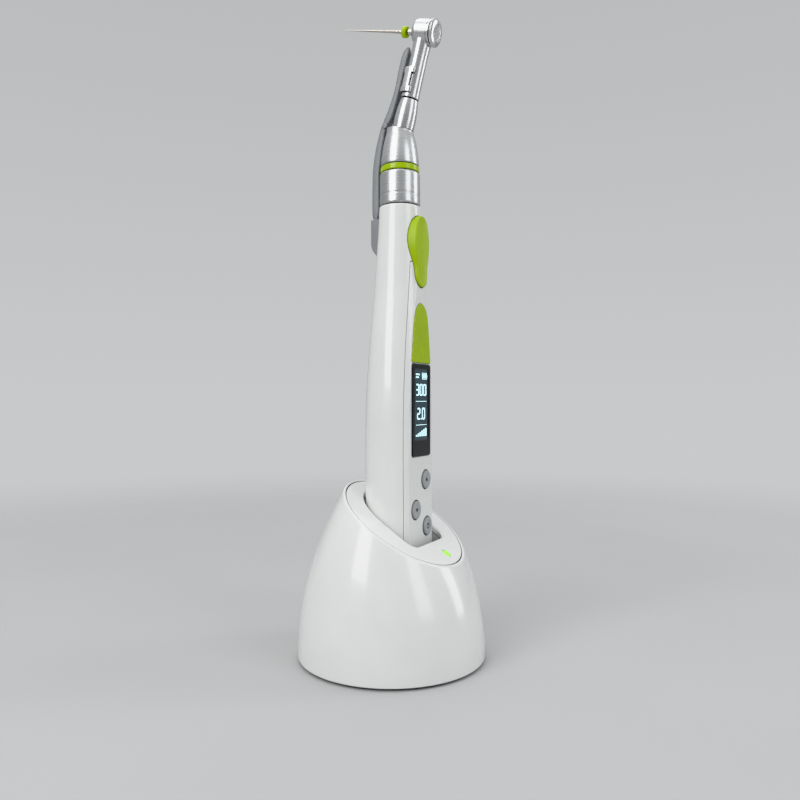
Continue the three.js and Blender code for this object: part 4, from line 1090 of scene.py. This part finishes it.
fm.link(mixs.outputs[0], fm.out.inputs[0])
floor.data.materials.append(fm.m)

world = bpy.data.worlds.new("soft")
bpy.context.scene.world = world
world.use_nodes = True
wt = world.node_tree
wt.nodes.clear()
wo = wt.nodes.new("ShaderNodeOutputWorld")
wb = wt.nodes.new("ShaderNodeBackground")
wtc = wt.nodes.new("ShaderNodeTexCoord")
sep = wt.nodes.new("ShaderNodeSeparateXYZ")


def sky(stops):
    """Grey background by the height of the direction: stops of (z, grey)."""
    mr = wt.nodes.new("ShaderNodeMapRange")
    mr.inputs["From Min"].default_value, mr.inputs["From Max"].default_value = -1.0, 1.0
    wt.links.new(sep.outputs["Z"], mr.inputs["Value"])
    r = wt.nodes.new("ShaderNodeValToRGB")
    el = r.color_ramp.elements
    while len(el) < len(stops):
        el.new(0.5)
    for e, (z, g) in zip(el, stops):
        e.position = 0.5 + 0.5 * z
        e.color = (g * 0.99, g, g * 1.01, 1)
    wt.links.new(mr.outputs[0], r.inputs[0])
    return r.outputs[0]


wt.links.new(wtc.outputs["Generated"], sep.inputs[0])
seen = sky([(-1.0, 0.62), (0.0, 0.62), (0.55, 0.53)])
room = sky([(-1.0, 0.50), (-0.15, 0.50), (0.0, 0.34), (0.30, 0.46), (1.0, 0.85)])
lp = wt.nodes.new("ShaderNodeLightPath")
wmix = wt.nodes.new("ShaderNodeMixShader")
wr = wt.nodes.new("ShaderNodeBackground")
wt.links.new(seen, wb.inputs[0])
wt.links.new(room, wr.inputs[0])
wt.links.new(lp.outputs["Is Camera Ray"], wmix.inputs[0])
wt.links.new(wr.outputs[0], wmix.inputs[1])
wt.links.new(wb.outputs[0], wmix.inputs[2])
wt.links.new(wmix.outputs[0], wo.inputs[0])


def area(name, loc, size, size_y, energy, col=(1, 1, 1), aim=(0, 0, 0.13)):
    d = bpy.data.lights.new(name, "AREA")
    d.shape, d.size, d.size_y, d.energy, d.color = "RECTANGLE", size, size_y, energy, col
    o = bpy.data.objects.new(name, d)
    bpy.context.scene.collection.objects.link(o)
    o.location = loc
    o.rotation_mode = "QUATERNION"
    o.rotation_quaternion = (Vector(aim) - Vector(loc)).to_track_quat("-Z", "Y")
    return o


area("key", (-0.80, 0.22, 0.62), 0.45, 0.9, 4.6, (1.0, 0.99, 0.97))
area("front", (-0.25, -1.0, 0.50), 0.40, 0.8, 1.9, (0.98, 0.99, 1.0))
area("top", (0.05, 0.10, 1.15), 0.6, 0.6, 2.6)
area("side", (0.58, -0.74, 0.40), 0.25, 0.8, 1.8)

cam_d = bpy.data.cameras.new("cam")
cam = bpy.data.objects.new("cam", cam_d)
bpy.context.scene.collection.objects.link(cam)
cam.location = (-0.2525, -0.1381, 0.1029)
cam.rotation_mode = "QUATERNION"
aim = Vector((0.0, -0.0038, 0.1029))
cam.rotation_quaternion = (aim - Vector(cam.location)).to_track_quat("-Z", "Y")
cam_d.sensor_width = 36
cam_d.lens = 32
cam_d.clip_start, cam_d.clip_end = 0.01, 50
bpy.context.scene.camera = cam

scene = bpy.context.scene
scene.view_settings.view_transform = "Khronos PBR Neutral"
scene.view_settings.look = "None"
scene.view_settings.exposure = 0.0
